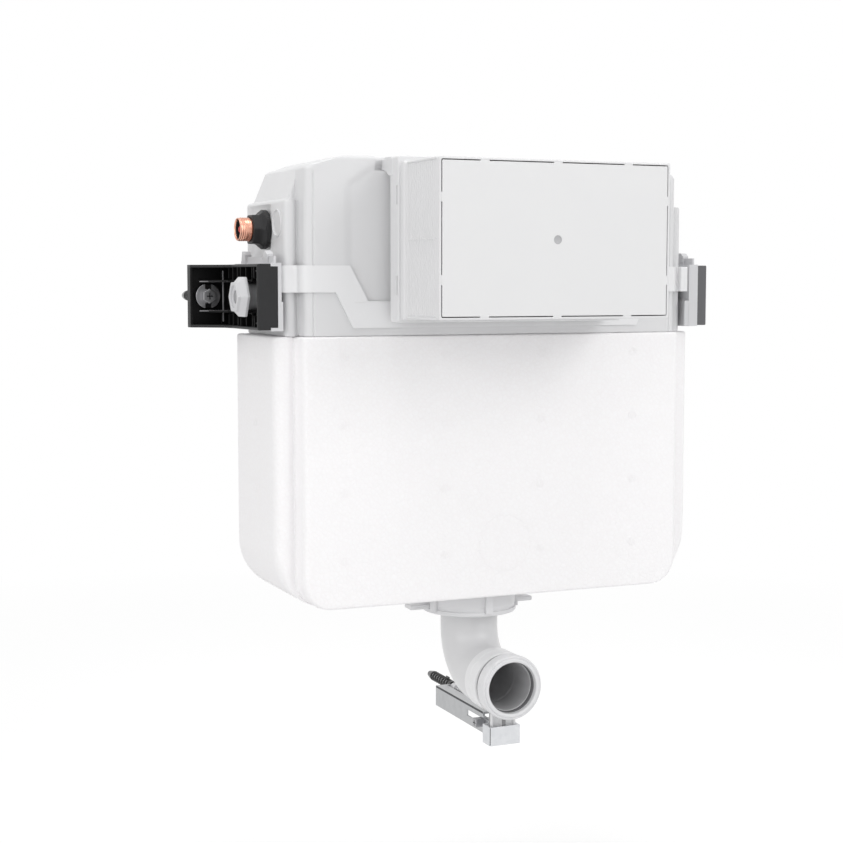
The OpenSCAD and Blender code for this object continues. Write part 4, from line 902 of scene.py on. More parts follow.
def notch(x, z, wall):
    """How deep the crown is cut back where a hook of the access box reaches over it."""
    start = NOTCH_INNER - wall
    across = eased(abs(x), start, start + 1) * eased(NOTCH_OUTER + wall - abs(x), 0, 0.8)
    return NOTCH_DEPTH * across * eased(z, NECK_TOP - wall, NECK_TOP + 1.0 - wall)


def edge_line(x, z):
    """How deep the thin line is that runs down beside each edge of the raised front."""
    across = eased(abs(x), FRONT_HALF - 8.6, FRONT_HALF - 8.0) * eased(
        FRONT_HALF - 6.4 - abs(x), 0, 0.6)
    return LINE_DEPTH * across * eased(CROWN_Z - 14 - z, 0, 4)


def side_field(y, z):
    """How deep a side is pressed in around the inlet, within a raised border."""
    across = eased(y, -78.5, -76.8) * eased(-y, 18, 21)
    return FIELD_DEPTH * across * eased(z, 28, 31) * eased(81 - z, 0, 1.2)


def upper_heights():
    """Heights of the upper tank's rings, with one on each edge of the neck."""
    rise = rounded_rise(RIM_Z, CROWN_Z, 1.5, 3.0, 2.0)
    kept = [(z, d) for z, d in rise if min(abs(z - NECK_LOW), abs(z - NECK_TOP - 0.5)) > 1.2]
    sides, front = tank_outline()
    kept += [(z, 0.0) for z, _ in sides + front if RIM_Z + 2 < z < CROWN_Z - 3]
    kept += [(NECK_LOW, 0.0), (NECK_TOP, 0.0), (NECK_TOP + 1.0, 0.0)]
    return sorted(set(kept))


def upper_ring(height, depth, wall):
    """A ring of the upper tank, drawn inside its skin by the wall."""
    sides, front = tank_outline()
    moved = depth + wall
    level = min(max(height, RIM_Z + wall), CROWN_Z - wall) if wall else height
    lobed = height < LOBE_Z - 0.5
    shoulder = SHOULDER_Y if lobed else FLANK_Y
    half = half_plan(level_of(height, sides) - moved, level_of(height, front) - moved,
                     BACK_Y - moved, shoulder + moved, FRONT_Y + moved,
                     PLAN_RADII if lobed else CROWN_RADII, SIDE_STEPS, front_columns)
    ring = []
    for x, y, z in whole_ring(half, level):
        if abs(y - FRONT_Y - moved) < 0.01:
            y += notch(x, z, wall) + (0 if wall else pocket(x, z) + edge_line(x, z))
        if not wall and abs(abs(x) - HALF_W) < 0.01:
            x -= math.copysign(side_field(y, z), x)
        ring.append((x, y, z))
    return ring


def lower_rings(wall):
    """Rings of the lower tank, from the round corners of its floor to the rim."""
    corner = 30.0
    floor = TANK_LOW.z + wall
    rings = []
    turns = turn(LOW_HALF - corner, TANK_LOW.z + corner, corner, -90, 0, 7)
    for x, z in turns + [(LOW_HALF, RIM_Z)]:
        half = half_plan(x - wall, min(x - 0.5, FRONT_HALF - LOW_FRONT_INSET) - wall,
                         BACK_Y - LOW_INSET - wall, SHOULDER_Y + LOW_INSET + wall,
                         FRONT_Y + LOW_INSET + wall, LOW_RADII, SIDE_STEPS, front_columns)
        level = max(z, floor) if z < RIM_Z else RIM_Z + wall
        rings.append(whole_ring(half, level))
    return rings


def tank_shape():
    """The hollow tank: an outer and an inner skin that meet at the neck's mouth."""
    heights = upper_heights()
    skins = [lower_rings(wall) + [upper_ring(z, d, wall) for z, d in heights]
             for wall in (0.0, TANK_WALL)]
    levels = [ring[0][2] for ring in skins[0]]
    first, last = levels.index(NECK_LOW), levels.index(NECK_TOP)
    ring = skins[0][first]
    right = min(i for i, p in enumerate(ring)
                if abs(p[0] - NECK_HALF) < 0.01 and p[1] < SHOULDER_Y)
    middle = next(i for i, p in enumerate(ring) if i > 0 and abs(p[0]) < 1e-6)
    left = 2 * middle - right
    shape = bmesh.new()
    mouths = []
    for rings in skins:
        rows = [[shape.verts.new(point) for point in ring] for ring in rings]
        for i, (near, far) in enumerate(zip(rows, rows[1:])):
            strip(shape, near, far, range(right, left) if first <= i < last else ())
        shape.faces.new(rows[0])
        shape.faces.new(rows[-1])
        mouths.append([rows[first][j] for j in range(right, left)]
                      + [rows[i][left] for i in range(first, last)]
                      + [rows[last][j] for j in range(left, right, -1)]
                      + [rows[i][right] for i in range(last, first, -1)])
    neck_skin(shape, *mouths)
    return outward(welded(shape))


def neck_skin(shape, outer, inner):
    """The neck's walls, from the tank's skin out to the mouth and back in."""
    def loop(inward, y):
        return [shape.verts.new((min(max(v.co.x, inward - NECK_HALF), NECK_HALF - inward), y,
                                 min(max(v.co.z, NECK_LOW + inward), NECK_TOP - inward)))
                for v in outer]
    mouth = TANK_LOW.y
    loops = [outer, loop(0.0, mouth + 0.8), loop(0.8, mouth),
             loop(TANK_WALL, mouth), loop(TANK_WALL, FRONT_Y + TANK_WALL - 0.2), inner]
    for near, far in zip(loops, loops[1:]):
        strip(shape, near, far)


# The foam jacket

SIDE_ROUND = 50.0
FRONT_ROUND = 25.0
JACKET_FRONT_HALF = JACKET_HIGH.x - 20.8
JACKET_RADII = (6.0, 7.0, 4.0, 5.0, 3.6)
JACKET_MIDDLE_Y = -60.0
JACKET_SIDE_STEPS = 30
JACKET_PLAY = 0.2
OUTLET_OPENING = 49.0
VENT_STEP = (97.0, 60.5)


def jacket_columns(flat):
    """Places across the jacket's front, from the edge of its flat half width to the middle."""
    return even(flat, 0, 44)[1:]


def sagged(height, low, radius, half):
    """The half width at a height of a body whose lower corners have a radius."""
    drop = max(0.0, radius - (height - low))
    return half - radius + math.sqrt(max(0.0, radius * radius - drop * drop))


def uneven(point):
    """A foam surface's slight waves, up to about a tenth of a millimetre."""
    return 0.16 * waves.noise(Vector(point) / 23)


def towards_middle(y, depth):
    """A step of a depth from the front or the back towards the jacket's middle."""
    return depth if y < JACKET_MIDDLE_Y else -depth


def jacket_rings():
    """Rings of the jacket's outside, with its slight waves, and then of its hollow."""
    rings = []
    for z, d in rounded_rise(JACKET_LOW.z, JACKET_HIGH.z, 2.5, 2.0, 4.0):
        half = half_plan(sagged(z, JACKET_LOW.z, SIDE_ROUND, JACKET_HIGH.x) - d,
                         sagged(z, JACKET_LOW.z, FRONT_ROUND, JACKET_FRONT_HALF) - d,
                         JACKET_HIGH.y, JACKET_LOW.y + 15.8, JACKET_LOW.y, JACKET_RADII,
                         JACKET_SIDE_STEPS, jacket_columns)
        ring = []
        for x, y, level in whole_ring(half, z):
            y += towards_middle(y, d)
            ring.append((x, y + towards_middle(y, 0.2 + uneven((x, y, level))), level))
        rings.append(ring)
    hollow_inset = LOW_INSET - JACKET_PLAY
    hollow = half_plan(LOW_HALF + JACKET_PLAY, FRONT_HALF - LOW_FRONT_INSET + JACKET_PLAY,
                       BACK_Y - hollow_inset, SHOULDER_Y + hollow_inset,
                       FRONT_Y + hollow_inset, LOW_RADII, JACKET_SIDE_STEPS, jacket_columns)
    return rings + [whole_ring(hollow, z) for z in (JACKET_HIGH.z, TANK_LOW.z - JACKET_PLAY)]


def jacket_shape():
    """The jacket with the round opening for the outlet in its floor."""
    low, high = span("outlet_lock_nut")
    opening = rod("z", (0, (low.y + high.y) / 2, JACKET_LOW.z - 5), 40, OUTLET_OPENING, 0.0, 72)
    return cut(skin(jacket_rings()), [opening])


def jacket_marks():
    """Steam vent prints on the front, back and sides, and a bare round print low in front."""
    across, down = VENT_STEP
    top = JACKET_HIGH.z - 17.5
    faces = [vents_on(4, 4, (x - 1.5 * across, y, top), (across, 0, 0), (0, 0, -down),
                      (0.55, 0.5, 7.6), (1.5, 0, 0))
             for x, y in ((-6, JACKET_LOW.y + 0.22), (0, JACKET_HIGH.y - 0.22))]
    sides = [vents_on(1, 3, (side * (JACKET_HIGH.x - 0.05), JACKET_MIDDLE_Y, top), (1, 0, 0),
                      (0, 0, -down), (0.5, 0.55, 7.6), (0, 1.5, 0)) for side in (-1, 1)]
    profile = [(26.4, 0.6), (26.3, 0.05), (25.7, 0.05), (25.6, 0.6)]
    print_ring = turned(profile, "y", (6, JACKET_LOW.y, JACKET_LOW.z + 49.7), 96)
    return joined([*faces, *sides, print_ring])


# The carrier strap

def strap_extras():
    """A stiffening lip along the strap's lower stretch, and a stop at its right end."""
    lip = slab((-141, STRAP_LOW.y - 0.35, -4.6), (141, STRAP_LOW.y + 1.2, -3.9), 0.2)
    stop = slab((191, STRAP_LOW.y + 0.05, 3.9), (198.6, STRAP_LOW.y + 6, 27.2), 0.8)
    return [lip, stop]


# The access box and its cover

BOX_HALF = BOX_HIGH.x - 2.0
BOX_HIGH_Y = TANK_LOW.y - 0.2
BOX_MID_Z = (BOX_LOW.z + BOX_HIGH.z) / 2
BOX_HALF_H = (BOX_HIGH.z - BOX_LOW.z) / 2 - 1.0
BOX_WALL = 2.0
RIB_PITCH = 4.2
FLANGE_RISE = 5.0
FLANGE_DROP = 2.8


def box_ring(y, grow, radius=2.0, flange=False):
    """A rounded rectangle around the box's axis at a depth; the flange is taller."""
    rise, drop = (FLANGE_RISE, FLANGE_DROP) if flange else (0, 0)
    return [(x, y, BOX_MID_Z + z + (rise if z > 0 else -drop))
            for x, z in oblong(BOX_HALF + grow, BOX_HALF_H + grow, radius)]


def mouth_ring(y, grow=0.0):
    """The neck's opening, as a ring that matches those of the box."""
    half_h = (NECK_TOP - NECK_LOW) / 2 - TANK_WALL + grow
    middle = (NECK_TOP + NECK_LOW) / 2
    return [(x, y, middle + z) for x, z in oblong(NECK_HALF - TANK_WALL + grow, half_h, 2.0)]


def box_shell():
    """The box's walls: a tall flange, a groove, a round rim, a sunk field and a plain band."""
    back, front = BOX_HIGH_Y, BOX_LOW.y
    flange = [(back + 3.0, 0.2), (back + 2.2, 1.0), (back - 15.0, 1.0), (back - 15.7, 0.3)]
    wall = [(back - 15.8, -1.3), (back - 21.2, -1.3), (back - 21.6, 0.4), (back - 22.6, 1.2),
            (back - 27.6, 1.2), (back - 28.6, 0.5), (back - 29.0, -0.4), (back - 31.0, -0.4),
            (back - 31.6, -0.8), (front + 6.4, -0.8), (front + 5.4, 0.0), (front + 0.8, 0.0),
            (front + 0.25, -0.25), (front, -0.8)]
    inside = [(front, -BOX_WALL + 0.3), (front + 0.3, -BOX_WALL), (back - 3.0, -BOX_WALL)]
    rings = [box_ring(y, grow, 2.0, True) for y, grow in flange]
    rings += [box_ring(y, grow) for y, grow in wall]
    rings += [box_ring(y, grow, 1.6) for y, grow in inside]
    rings += [mouth_ring(back - 3.0), mouth_ring(back), mouth_ring(back, 6.0),
              mouth_ring(back + 3.0, 6.0)]
    return skin(rings, True)


def latch_slots():
    """Cutters for the narrow latch slots in the flange's sides."""
    return [slab((x - 1.2, BOX_HIGH_Y - 13.8, z - 8.2), (x + 1.2, BOX_HIGH_Y - 11.5, z + 8.2), 0)
            for x in (-BOX_HALF - 0.2, BOX_HALF + 0.2)
            for z in (BOX_MID_Z - 38.5, BOX_MID_Z + 39.5)]


def box_ribs():
    """Fine ribs in the sunk fields of all four walls, their corner strips and a cross line."""
    back, front = BOX_HIGH_Y, BOX_LOW.y
    first = back - 34.4
    count = int((first - (front + 8.3)) / RIB_PITCH) + 1
    tall = 2 * BOX_HALF_H - 5.2
    wide = 2 * BOX_HALF - 5.2
    rows = []
    for side in (-1, 1):
        rows.append(bar_row(count, (side * (BOX_HALF - 0.9), first, BOX_MID_Z),
                            (0, -RIB_PITCH, 0), (1.5, 2.2, tall), "box", 0.7))
        rows.append(bar_row(count, (0, first, BOX_MID_Z + side * (BOX_HALF_H - 0.9)),
                            (0, -RIB_PITCH, 0), (wide, 2.2, 1.5), "box", 0.7))
        x = side * (BOX_HALF - 0.75)
        rows.append(slab((x - 0.5, front + 7.6, BOX_MID_Z - 0.45),
                         (x + 0.5, first + 1.2, BOX_MID_Z + 0.45), 0.2))
        for up in (-1, 1):
            x, z = side * (BOX_HALF - 1.0), BOX_MID_Z + up * (BOX_HALF_H - 1.0)
            rows.append(slab((x - 1, front + 6.8, z - 1), (x + 1, back - 31.7, z + 1), 0.8))
    return rows


def box_hook():
    """The hook at a top corner of the box, which reaches back over the tank's crown."""
    y, z = BOX_HIGH_Y, BOX_MID_Z + BOX_HALF_H + FLANGE_RISE
    outline = [(y - 4, z - 0.2), (y - 4, z - 15.2), (y + 5.3, z - 15), (y + 12.5, z - 10.7),
               (y + 22.2, z - 9.3), (y + 22.2, z - 0.4)]
    return prism(filleted(outline, 1.6), BOX_HALF - 2.5, BOX_HALF + 1.5, "x", 0.5)


def access_box_shape():
    """The box: walls with latch slots, ribs and two hooks."""
    return joined([cut(box_shell(), latch_slots()), *box_ribs(), mirrored(box_hook())])


COVER_LOW, COVER_HIGH = span("access_cover")


def cover_shape():
    """The front plate with its bridges, the skirt behind it and a sunk round mark."""
    half, half_h = BOX_HALF - BOX_WALL - 0.9, BOX_HALF_H - BOX_WALL - 0.9
    y = COVER_LOW.y
    plate = prism(oblong(half, half_h, 0.8), y, y + 1.8, "y", 0.25, (0, 0, BOX_MID_Z))
    hole = turned([(0, -1), (3.8, -1), (3.8, 1.2), (0, 1.2)], "y", (0, y, BOX_MID_Z), 48)
    parts = [cut(plate, [hole])]
    bridges = [(x, side * (half_h + 0.4), 4, 0.6) for x in (-68, 0, 68) for side in (-1, 1)]
    bridges += [(side * (half + 0.4), z, 0.6, 4) for z in (-34, 34) for side in (-1, 1)]
    for x, z, half_x, half_z in bridges:
        parts.append(slab((x - half_x, y + 0.05, BOX_MID_Z + z - half_z),
                          (x + half_x, y + 1.6, BOX_MID_Z + z + half_z), 0.15))
    outer = [[(x, level, BOX_MID_Z + z) for x, z in oblong(half - inward, half_h - inward, 2.0)]
             for inward, level in ((2.0, y + 1.6), (2.0, COVER_HIGH.y - 0.4),
                                   (2.4, COVER_HIGH.y), (3.2, COVER_HIGH.y),
                                   (3.6, COVER_HIGH.y - 0.4), (3.6, y + 1.6))]
    parts.append(skin(outer, True))
    parts.append(bar_row(5, (-80, y + 2.6, BOX_MID_Z), (40, 0, 0), (1.4, 2.2, 2 * half_h - 8),
                         "cover", 0.3))
    return joined(parts)


def cover_mark():
    """The round grey disc in the middle of the cover, with a dished face."""
    profile = [(0, 0.75), (2.6, 0.6), (3.2, 0.3), (3.7, 0.35), (3.7, 1.1), (0, 1.1)]
    return turned(profile, "y", (0, COVER_LOW.y, BOX_MID_Z), 48)


# Brackets, holders, nuts and wall fixings

BRACKET_LOW, BRACKET_HIGH = span("right_bracket")
NUT_LOW, NUT_HIGH = span("right_lock_nut")
STUD_Y = (NUT_LOW.y + NUT_HIGH.y) / 2
TONGUE_OUT = NUT_LOW.x - 13.3
FIXING_X = BRACKET_HIGH.x - 17.0
DEPTH_TRAVEL = 14.0
SCREW_CORE = 3.3
PLUG_PITCH = 5.5


def slot_wall(x):
    """A low wall round the stud's slot, wide enough for the collar all along its travel."""
    half = DEPTH_TRAVEL / 2
    profile = ((15.2, 0), (15.2, 2.6), (15.5, 3), (16.5, 3), (16.8, 2.6), (16.8, 0))
    return skin([[(x + rise, STUD_Y - half + y, z) for y, z in oblong(half + r, r, r, 16)]
                 for r, rise in profile], True)


def bracket_webs():
    """Moulded webs in a right bracket, each as its middle, its half sizes and its height."""
    top = BRACKET_HIGH.z
    webs = [(y, side * (top - 6.5), 0.7, 6, 9) for y in (-8.6, -33.0, -62.0, -70.0, -110.0)
            for side in (-1, 1)]
    webs += [(-47.0, 0, 0.8, top - 1, 9.2)]
    webs += [(-67.0, z, 37.0, 0.8, 9.2) for z in (-14.0, 14.0)]
    webs += [(y, z, 0.7, 6, 7) for y in (-80.0, -98.0) for z in (-20.5, 20.5)]
    webs += [(BRACKET_LOW.y + 7, side * (top - 6), 5, 0.7, 8) for side in (-1, 1)]
    x = TONGUE_OUT + 2.0
    return [slab((x, y - half_y, z - half_z), (x + rise, y + half_y, z + half_z),
                 0.35 if rise > 9 else 0.3) for y, z, half_y, half_z, rise in webs]


def rib_highlights(side):
    """Paler strips on the edges of the ribs over a bracket's foot: painted highlights."""
    x, y = FIXING_X - 12.7, -14.6
    bars = [slab((FIXING_X - 19.5, y - 0.6, z - 0.5), (FIXING_X + 9.5, y + 0.6, z + 0.5), 0.2)
            for z in (-13.4, 13.4)]
    bars.append(slab((x - 0.5, y - 0.8, -23.4), (x + 0.5, y + 0.6, 23.4), 0.2))
    return handed(joined(bars), side)


def rounded_bracket():
    """The right bracket with a large radius along its two outer edges."""
    shape = copy_of("right_bracket")
    reach = max(v.co.x for v in shape.verts if v.co.y < BRACKET_LOW.y + 1)
    outer = [edge for edge in shape.edges
             if all(abs(v.co.x - reach) < 0.1 and abs(v.co.z) > BRACKET_HIGH.z - 0.1
                    for v in edge.verts)]
    return soften(bevel(shape, outer, 1.7, 4, True), 0.35)


def bracket_shape(side):
    """A bracket with its moulded webs and the wall round its slot."""
    return handed(joined([rounded_bracket(), slot_wall(TONGUE_OUT + 2.0), *bracket_webs()]),
                  side)


# A hexagon's corner radius as a share of its width; a nut's rings as (depth, width or radius)
CORNER_SHARE = 0.57
LOCK_NUT_HEXAGONS = ((0.0, 24.2), (0.4, 25.2), (2.8, 25.9), (6.6, 33.0), (7.2, 34.4),
                     (7.6, 34.8), (9.3, 34.8), (9.7, 34.2))
LOCK_NUT_RECESS = ((9.7, 10.35), (3.4, 10.35), (3.2, 9.9), (0.4, 10.1), (0.0, 10.5))


def nut_ring(place, flats, widest):
    """A hexagon square to x with its corners turned down to a radius, as 120 even points. With
    endless flats it is a circle."""
    made = []
    for angle in even(0, 2 * math.pi, 120)[:-1]:
        lean = (angle % (math.pi / 3)) - math.pi / 6
        radius = min(widest, flats / 2 / math.cos(lean))
        made.append((place[0], place[1] + radius * math.cos(angle),
                     place[2] + radius * math.sin(angle)))
    return made


def nut_rings(start, way, centre_y, centre_z, hexagons, rounds, corner):
    """Rings of a nut from tables of (depth, width across flats) and (depth, radius)."""
    rings = [nut_ring((start + way * depth, centre_y, centre_z), flats,
                      min(corner, flats * CORNER_SHARE)) for depth, flats in hexagons]
    return rings + [nut_ring((start + way * depth, centre_y, centre_z), math.inf, radius)
                    for depth, radius in rounds]


def lock_nut_shape(side):
    """A depth lock nut: a hexagonal cone with a round sunk face on a thick hexagonal flange."""
    return handed(skin(nut_rings(NUT_HIGH.x, -1, STUD_Y, 0, LOCK_NUT_HEXAGONS, LOCK_NUT_RECESS,
                                 math.inf), True), side)


def holder_extras(side):
    """What is moulded on a holder: cheeks that fill its two hooks, and on the right one more
    beside the tank."""
    x, top = TONGUE_OUT, BRACKET_HIGH.z + 0.9
    parts = []
    for y in (-37.0, -100.0):
        parts.append(slab((x - 7, y - 8.8, top + 1.2), (x - 1, y - 4.6, top + 6.6), 0.4))
        parts.append(slab((x - 6.6, y - 1, top - 0.6), (x - 1.4, y + 5.4, top + 2.6), 0.6))
    low = span("right_holder")[0]
    if side > 0:
        parts.append(slab((x - 14.6, low.y + 0.2, low.z + 0.4), (x - 5, low.y + 2.6, -5), 0.5))
    return handed(joined(parts), side)


def stud_end_shade(side):
    """The end of a holder's stud, seen in the lock nut's round face, in a darker grey than the
    holder: painted shade of the sunk face.
    """
    return handed(rod("x", (NUT_HIGH.x - 3.9, STUD_Y, 0), 1.1, 9.85, 0.3), side)


def washer_shape():
    """Round washers with a notch above and below."""
    low = span("wall_washers")[0]
    profile = [(4.3, 0), (11.2, 0), (11.5, 0.3), (11.5, 1.7), (11.2, 2.0), (4.3, 2.0)]
    disc = turned(profile, "y", (FIXING_X, low.y, 0), 72)
    notches = [slab((FIXING_X - 2.9, low.y - 1, z), (FIXING_X + 2.9, low.y + 3, z + 6), 0)
               for z in (6.4, -12.4)]
    return mirrored(cut(disc, notches))


def cross(x, z, half, slim, start, end):
    """The two bars of a cross recess, between two places along y."""
    return [slab((x - a, start, z - b), (x + a, end, z + b), 0)
            for a, b in ((half, slim), (slim, half))]


def hex_screw(node, x, z, flats, tall, seat, recess, deep, edge, thread_y):
    """A hexagon screw: a tall head with a cross recess, and a threaded shank from its seat."""
    y, end = (corner.y for corner in span(node))
    head = prism(filleted(regular(6, flats, 30), edge), y, y + tall, "y", 0.5, (x, 0, z))
    head = cut(head, cross(x, z, recess / 2, recess / 11, y - 1, y + deep))
    shank = rod("y", (x, y + seat, z), end - y - seat, SCREW_CORE, edge)
    thread = thread_on("y", (x, thread_y, z), SCREW_CORE, 22, 8, 0.65, "zinc_steel")
    return joined([head, shank, thread])


def cross_recess_shade():
    """Dark slabs at the bottoms of the wall screws' cross recesses: painted shade."""
    y = span("wall_screws")[0].y + 0.5
    return mirrored(joined(cross(FIXING_X, 0, 2.7, 0.5, y, y + 0.6)))


def plug_shape(node, x, z):
    """A nylon wall plug: a ribbed sleeve with a collar, fins and a narrowing tip."""
    low, high = span(node)
    length = high.y - 0.3
    profile = [(3.3, 0), (4.9, 0), (5.0, 0.4)]
    for i in range(int((length - 14) / PLUG_PITCH)):
        y = 4 + i * PLUG_PITCH
        profile += [(5.0, y), (3.5, y + 0.8), (3.5, y + 2.2), (5.0, y + 4.6)]
    profile += [(4.6, length - 8), (3.2, length - 0.6), (2.6, length), (0, length),
                (0, 34), (3.3, 31)]
    fins = [slab((x - 0.6, low.y + 10, z + fin), (x + 0.6, low.y + 17, z + fin + 3.0), 0.25)
            for fin in (4.2, -7.2)]
    return joined([turned(profile, "y", (x, low.y, z), 40), *fins])


def plug_groove_highlights(node, x, z):
    """A bright zinc tube inside a plug, seen in its grooves: painted highlights in the grooves."""
    low, high = span(node)
    start, end = 3, high.y - 12.3
    return turned([(3.1, start), (3.85, start), (3.85, end), (3.1, end)], "y",
                  (x, low.y, z), 32)


# Inlet

INLET_LOW, INLET_HIGH = span("inlet_nipple")
INLET_Y = (INLET_LOW.y + INLET_HIGH.y) / 2
INLET_Z = (INLET_LOW.z + INLET_HIGH.z) / 2
INLET_NUT_X = span("inlet_lock_nut")[0].x


def nipple_shape():
    """The threaded inlet: a rounded mouth, a wound thread, and a collar inside the tank."""
    reach = INLET_HIGH.x - INLET_LOW.x
    shoulder = INLET_NUT_X - INLET_LOW.x
    collar = reach - 3.1
    profile = [(8.8, 1.6), (8.9, 0.9), (9.2, 0.3), (9.6, 0), (10.0, 0.2), (10.2, 0.7),
               (10.0, 1.3), (10.0, shoulder), (9.5, shoulder + 0.3), (9.5, collar),
               (16.6, collar), (17, collar + 0.4), (17, reach - 0.4), (16.6, reach), (8.8, reach)]
    body = turned(profile, "x", (INLET_LOW.x, INLET_Y, INLET_Z), 72)
    return joined([body, thread_on("x", (INLET_LOW.x + 1.6, INLET_Y, INLET_Z), 10.0,
                                   shoulder - 2.0, 5.6, 0.6, "copper_brass")])


def inlet_shade_sleeve():
    """A dark sleeve inside the inlet's bore, where the strainer sits: painted shade in the bore."""
    profile = [(8.1, 1.8), (8.4, 1.4), (8.75, 1.4), (8.75, 26), (8.1, 26)]
    return turned(profile, "x", (INLET_LOW.x, INLET_Y, INLET_Z), 64)


def strainer_shape():
    """The red strainer: a cup with slots, and a stem with a knob to pull it by."""
    stem = turned([(0, 0), (2.0, 0), (2.8, 0.6), (2.8, 2.0), (1.5, 2.8), (1.5, 8), (0, 8)], "x",
                  (INLET_LOW.x + 1.8, INLET_Y, INLET_Z), 32)
    return joined([soften(copy_of("inlet_strainer"), 0.15), stem])


INLET_NUT_HEXAGONS = ((0.0, 24.4), (0.5, 25.4), (6.4, 25.8), (8.2, 27.6), (9.8, 31.4))
INLET_NUT_ROUNDS = ((10.6, 16.9), (11.0, 17.5), (14.6, 17.5), (15.2, 16.9), (15.2, 10.8),
                    (0.0, 10.8))


def inlet_nut_shape():
    """The inlet's nut: a short hexagon that widens in a cone to a thick round flange."""
    return skin(nut_rings(INLET_NUT_X, 1, INLET_Y, INLET_Z, INLET_NUT_HEXAGONS,
                          INLET_NUT_ROUNDS, 17.0), True)


def blank_shape(side, y, z):
    """A round blanking plug with a dished face."""
    profile = [(0, 0.0), (9.2, -0.3), (10.3, 0.0), (10.9, 1.0), (11.4, 1.2), (12.1, 1.1),
               (12.5, 0.5), (12.5, -0.6), (9.8, -0.6), (9.8, -6), (0, -6)]
    return handed(turned(profile, "x", (HALF_W + 0.1, y, z), 64), side)


def blanks_shape():
    """The plugs in the tank's two spare side holes."""
    low, high = span("blanking_plugs")
    return joined([blank_shape(-1, low.y + 10.7, high.z - 13.8), blank_shape(1, INLET_Y, INLET_Z)])


# Outlet and flush bend

PIPE_Y = -67.0
OUTLET_LOW, OUTLET_HIGH = span("outlet_lock_nut")
BEND_LOW, BEND_HIGH = span("flush_bend")
SOCKET_LOW, SOCKET_HIGH = span("socket_ring")
SOCKET_Z = (SOCKET_LOW.z + SOCKET_HIGH.z) / 2
BEND_RADIUS = 40.0
BEND_OUT = 27.3
SLEEVE_OUT = 29.2
BEND_BORE = 22.5
SLEEVE_BORE = 22.9
SLEEVE_Y = -120.0
# How the bend ends in front: places along y, each with its outer radius
BEND_FRONT = (
    (-112.0, BEND_OUT), (-118.6, BEND_OUT), (-119.2, BEND_OUT - 1.0), (-120.8, BEND_OUT - 1.0),
    (-121.0, SLEEVE_OUT - 0.5), (-121.3, SLEEVE_OUT), (-121.8, SLEEVE_OUT),
    (-130.0, SLEEVE_OUT), (-130.3, SLEEVE_OUT - 0.35), (-130.9, SLEEVE_OUT - 0.35),
    (-131.2, SLEEVE_OUT), (-143.4, SLEEVE_OUT), (-144.0, BEND_OUT + 0.1),
    (-145.8, BEND_OUT + 0.1), (-146.4, BEND_OUT), (-147.6, BEND_OUT),
    (BEND_LOW.y + 0.5, BEND_OUT), (BEND_LOW.y, BEND_OUT - 0.5))


def outlet_nut_shape():
    """The large nut under the tank: a stepped rim, upright ribs, two lugs and a pointer."""
    low, high = OUTLET_LOW.z, OUTLET_HIGH.z
    profile = [(31.2, high), (44.0, high), (44.1, low + 8.4), (43.6, low + 7.6),
               (43.6, low + 4.4), (44.9, low + 3.9), (44.9, low + 1.0), (44.3, low + 0.2),
               (34.0, low + 0.2), (31.2, low + 1.2)]
    parts = [turned(profile, "z", (0, PIPE_Y, 0), 120)]
    for angle in even(0, 360, 5)[:-1]:
        rib = slab((-3.7, -46.8, low + 2.6), (3.7, -42.6, high - 1), 0.35)
        rib.transform(Matrix.Translation((0, PIPE_Y, 0))
                      @ Matrix.Rotation(math.radians(angle), 4, "Z"))
        parts.append(rib)
    lug = slab((42, PIPE_Y - 8, low + 4.0), (OUTLET_HIGH.x, PIPE_Y + 8, low + 8.6), 1.4)
    y = PIPE_Y - 37
    pointer = skin([[(-3.2, y, low + 0.4), (3.2, y, low + 0.4), (0, y, low + 0.3)],
                    [(-3.2, y + 3, low + 0.4), (3.2, y + 3, low + 0.4), (0, y + 3, low + 0.3)]])
    return joined(parts + [mirrored(lug), pointer])


def bend_stations():
    """Places along the bend's centre line, each with its direction and the outer radius there:
    a top flange, a plain elbow, then the sleeve with its seam."""
    top, arc_z = BEND_HIGH.z, SOCKET_Z + BEND_RADIUS
    stations = [((0, PIPE_Y, top - drop), (0, 0, -1), radius) for drop, radius in
                ((0, 30.3), (0.5, 30.8), (4.5, 30.8), (5, BEND_OUT), (7, BEND_OUT))]
    stations += [((0, PIPE_Y, z), (0, 0, -1), BEND_OUT) for z in fine(top - 7, arc_z, 8)[1:]]
    for y, z in turn(PIPE_Y - BEND_RADIUS, arc_z, BEND_RADIUS, 0, -90, 18)[1:]:
        ahead = ((z - arc_z) / BEND_RADIUS, (PIPE_Y - BEND_RADIUS - y) / BEND_RADIUS)
        stations.append(((0, y, z), (0, *ahead), BEND_OUT))
    return stations + [((0, y, SOCKET_Z), (0, -1, 0), radius) for y, radius in BEND_FRONT]


def round_ring(place, ahead, radius, sides=72):
    """A circle about a place, square to its direction in the middle plane."""
    across, ahead = Vector((1, 0, 0)), Vector(ahead)
    up = ahead.cross(across)
    return [Vector(place) + radius * (across * math.cos(a) + up * math.sin(a))
            for a in even(0, 2 * math.pi, sides)[:-1]]


def bore_rings(stations, clear):
    """Circles of the bend's bore, somewhat wider in the sleeve."""
    return [round_ring(place, ahead, (SLEEVE_BORE if place[1] < SLEEVE_Y else BEND_BORE) - clear)
            for place, ahead, _ in stations]


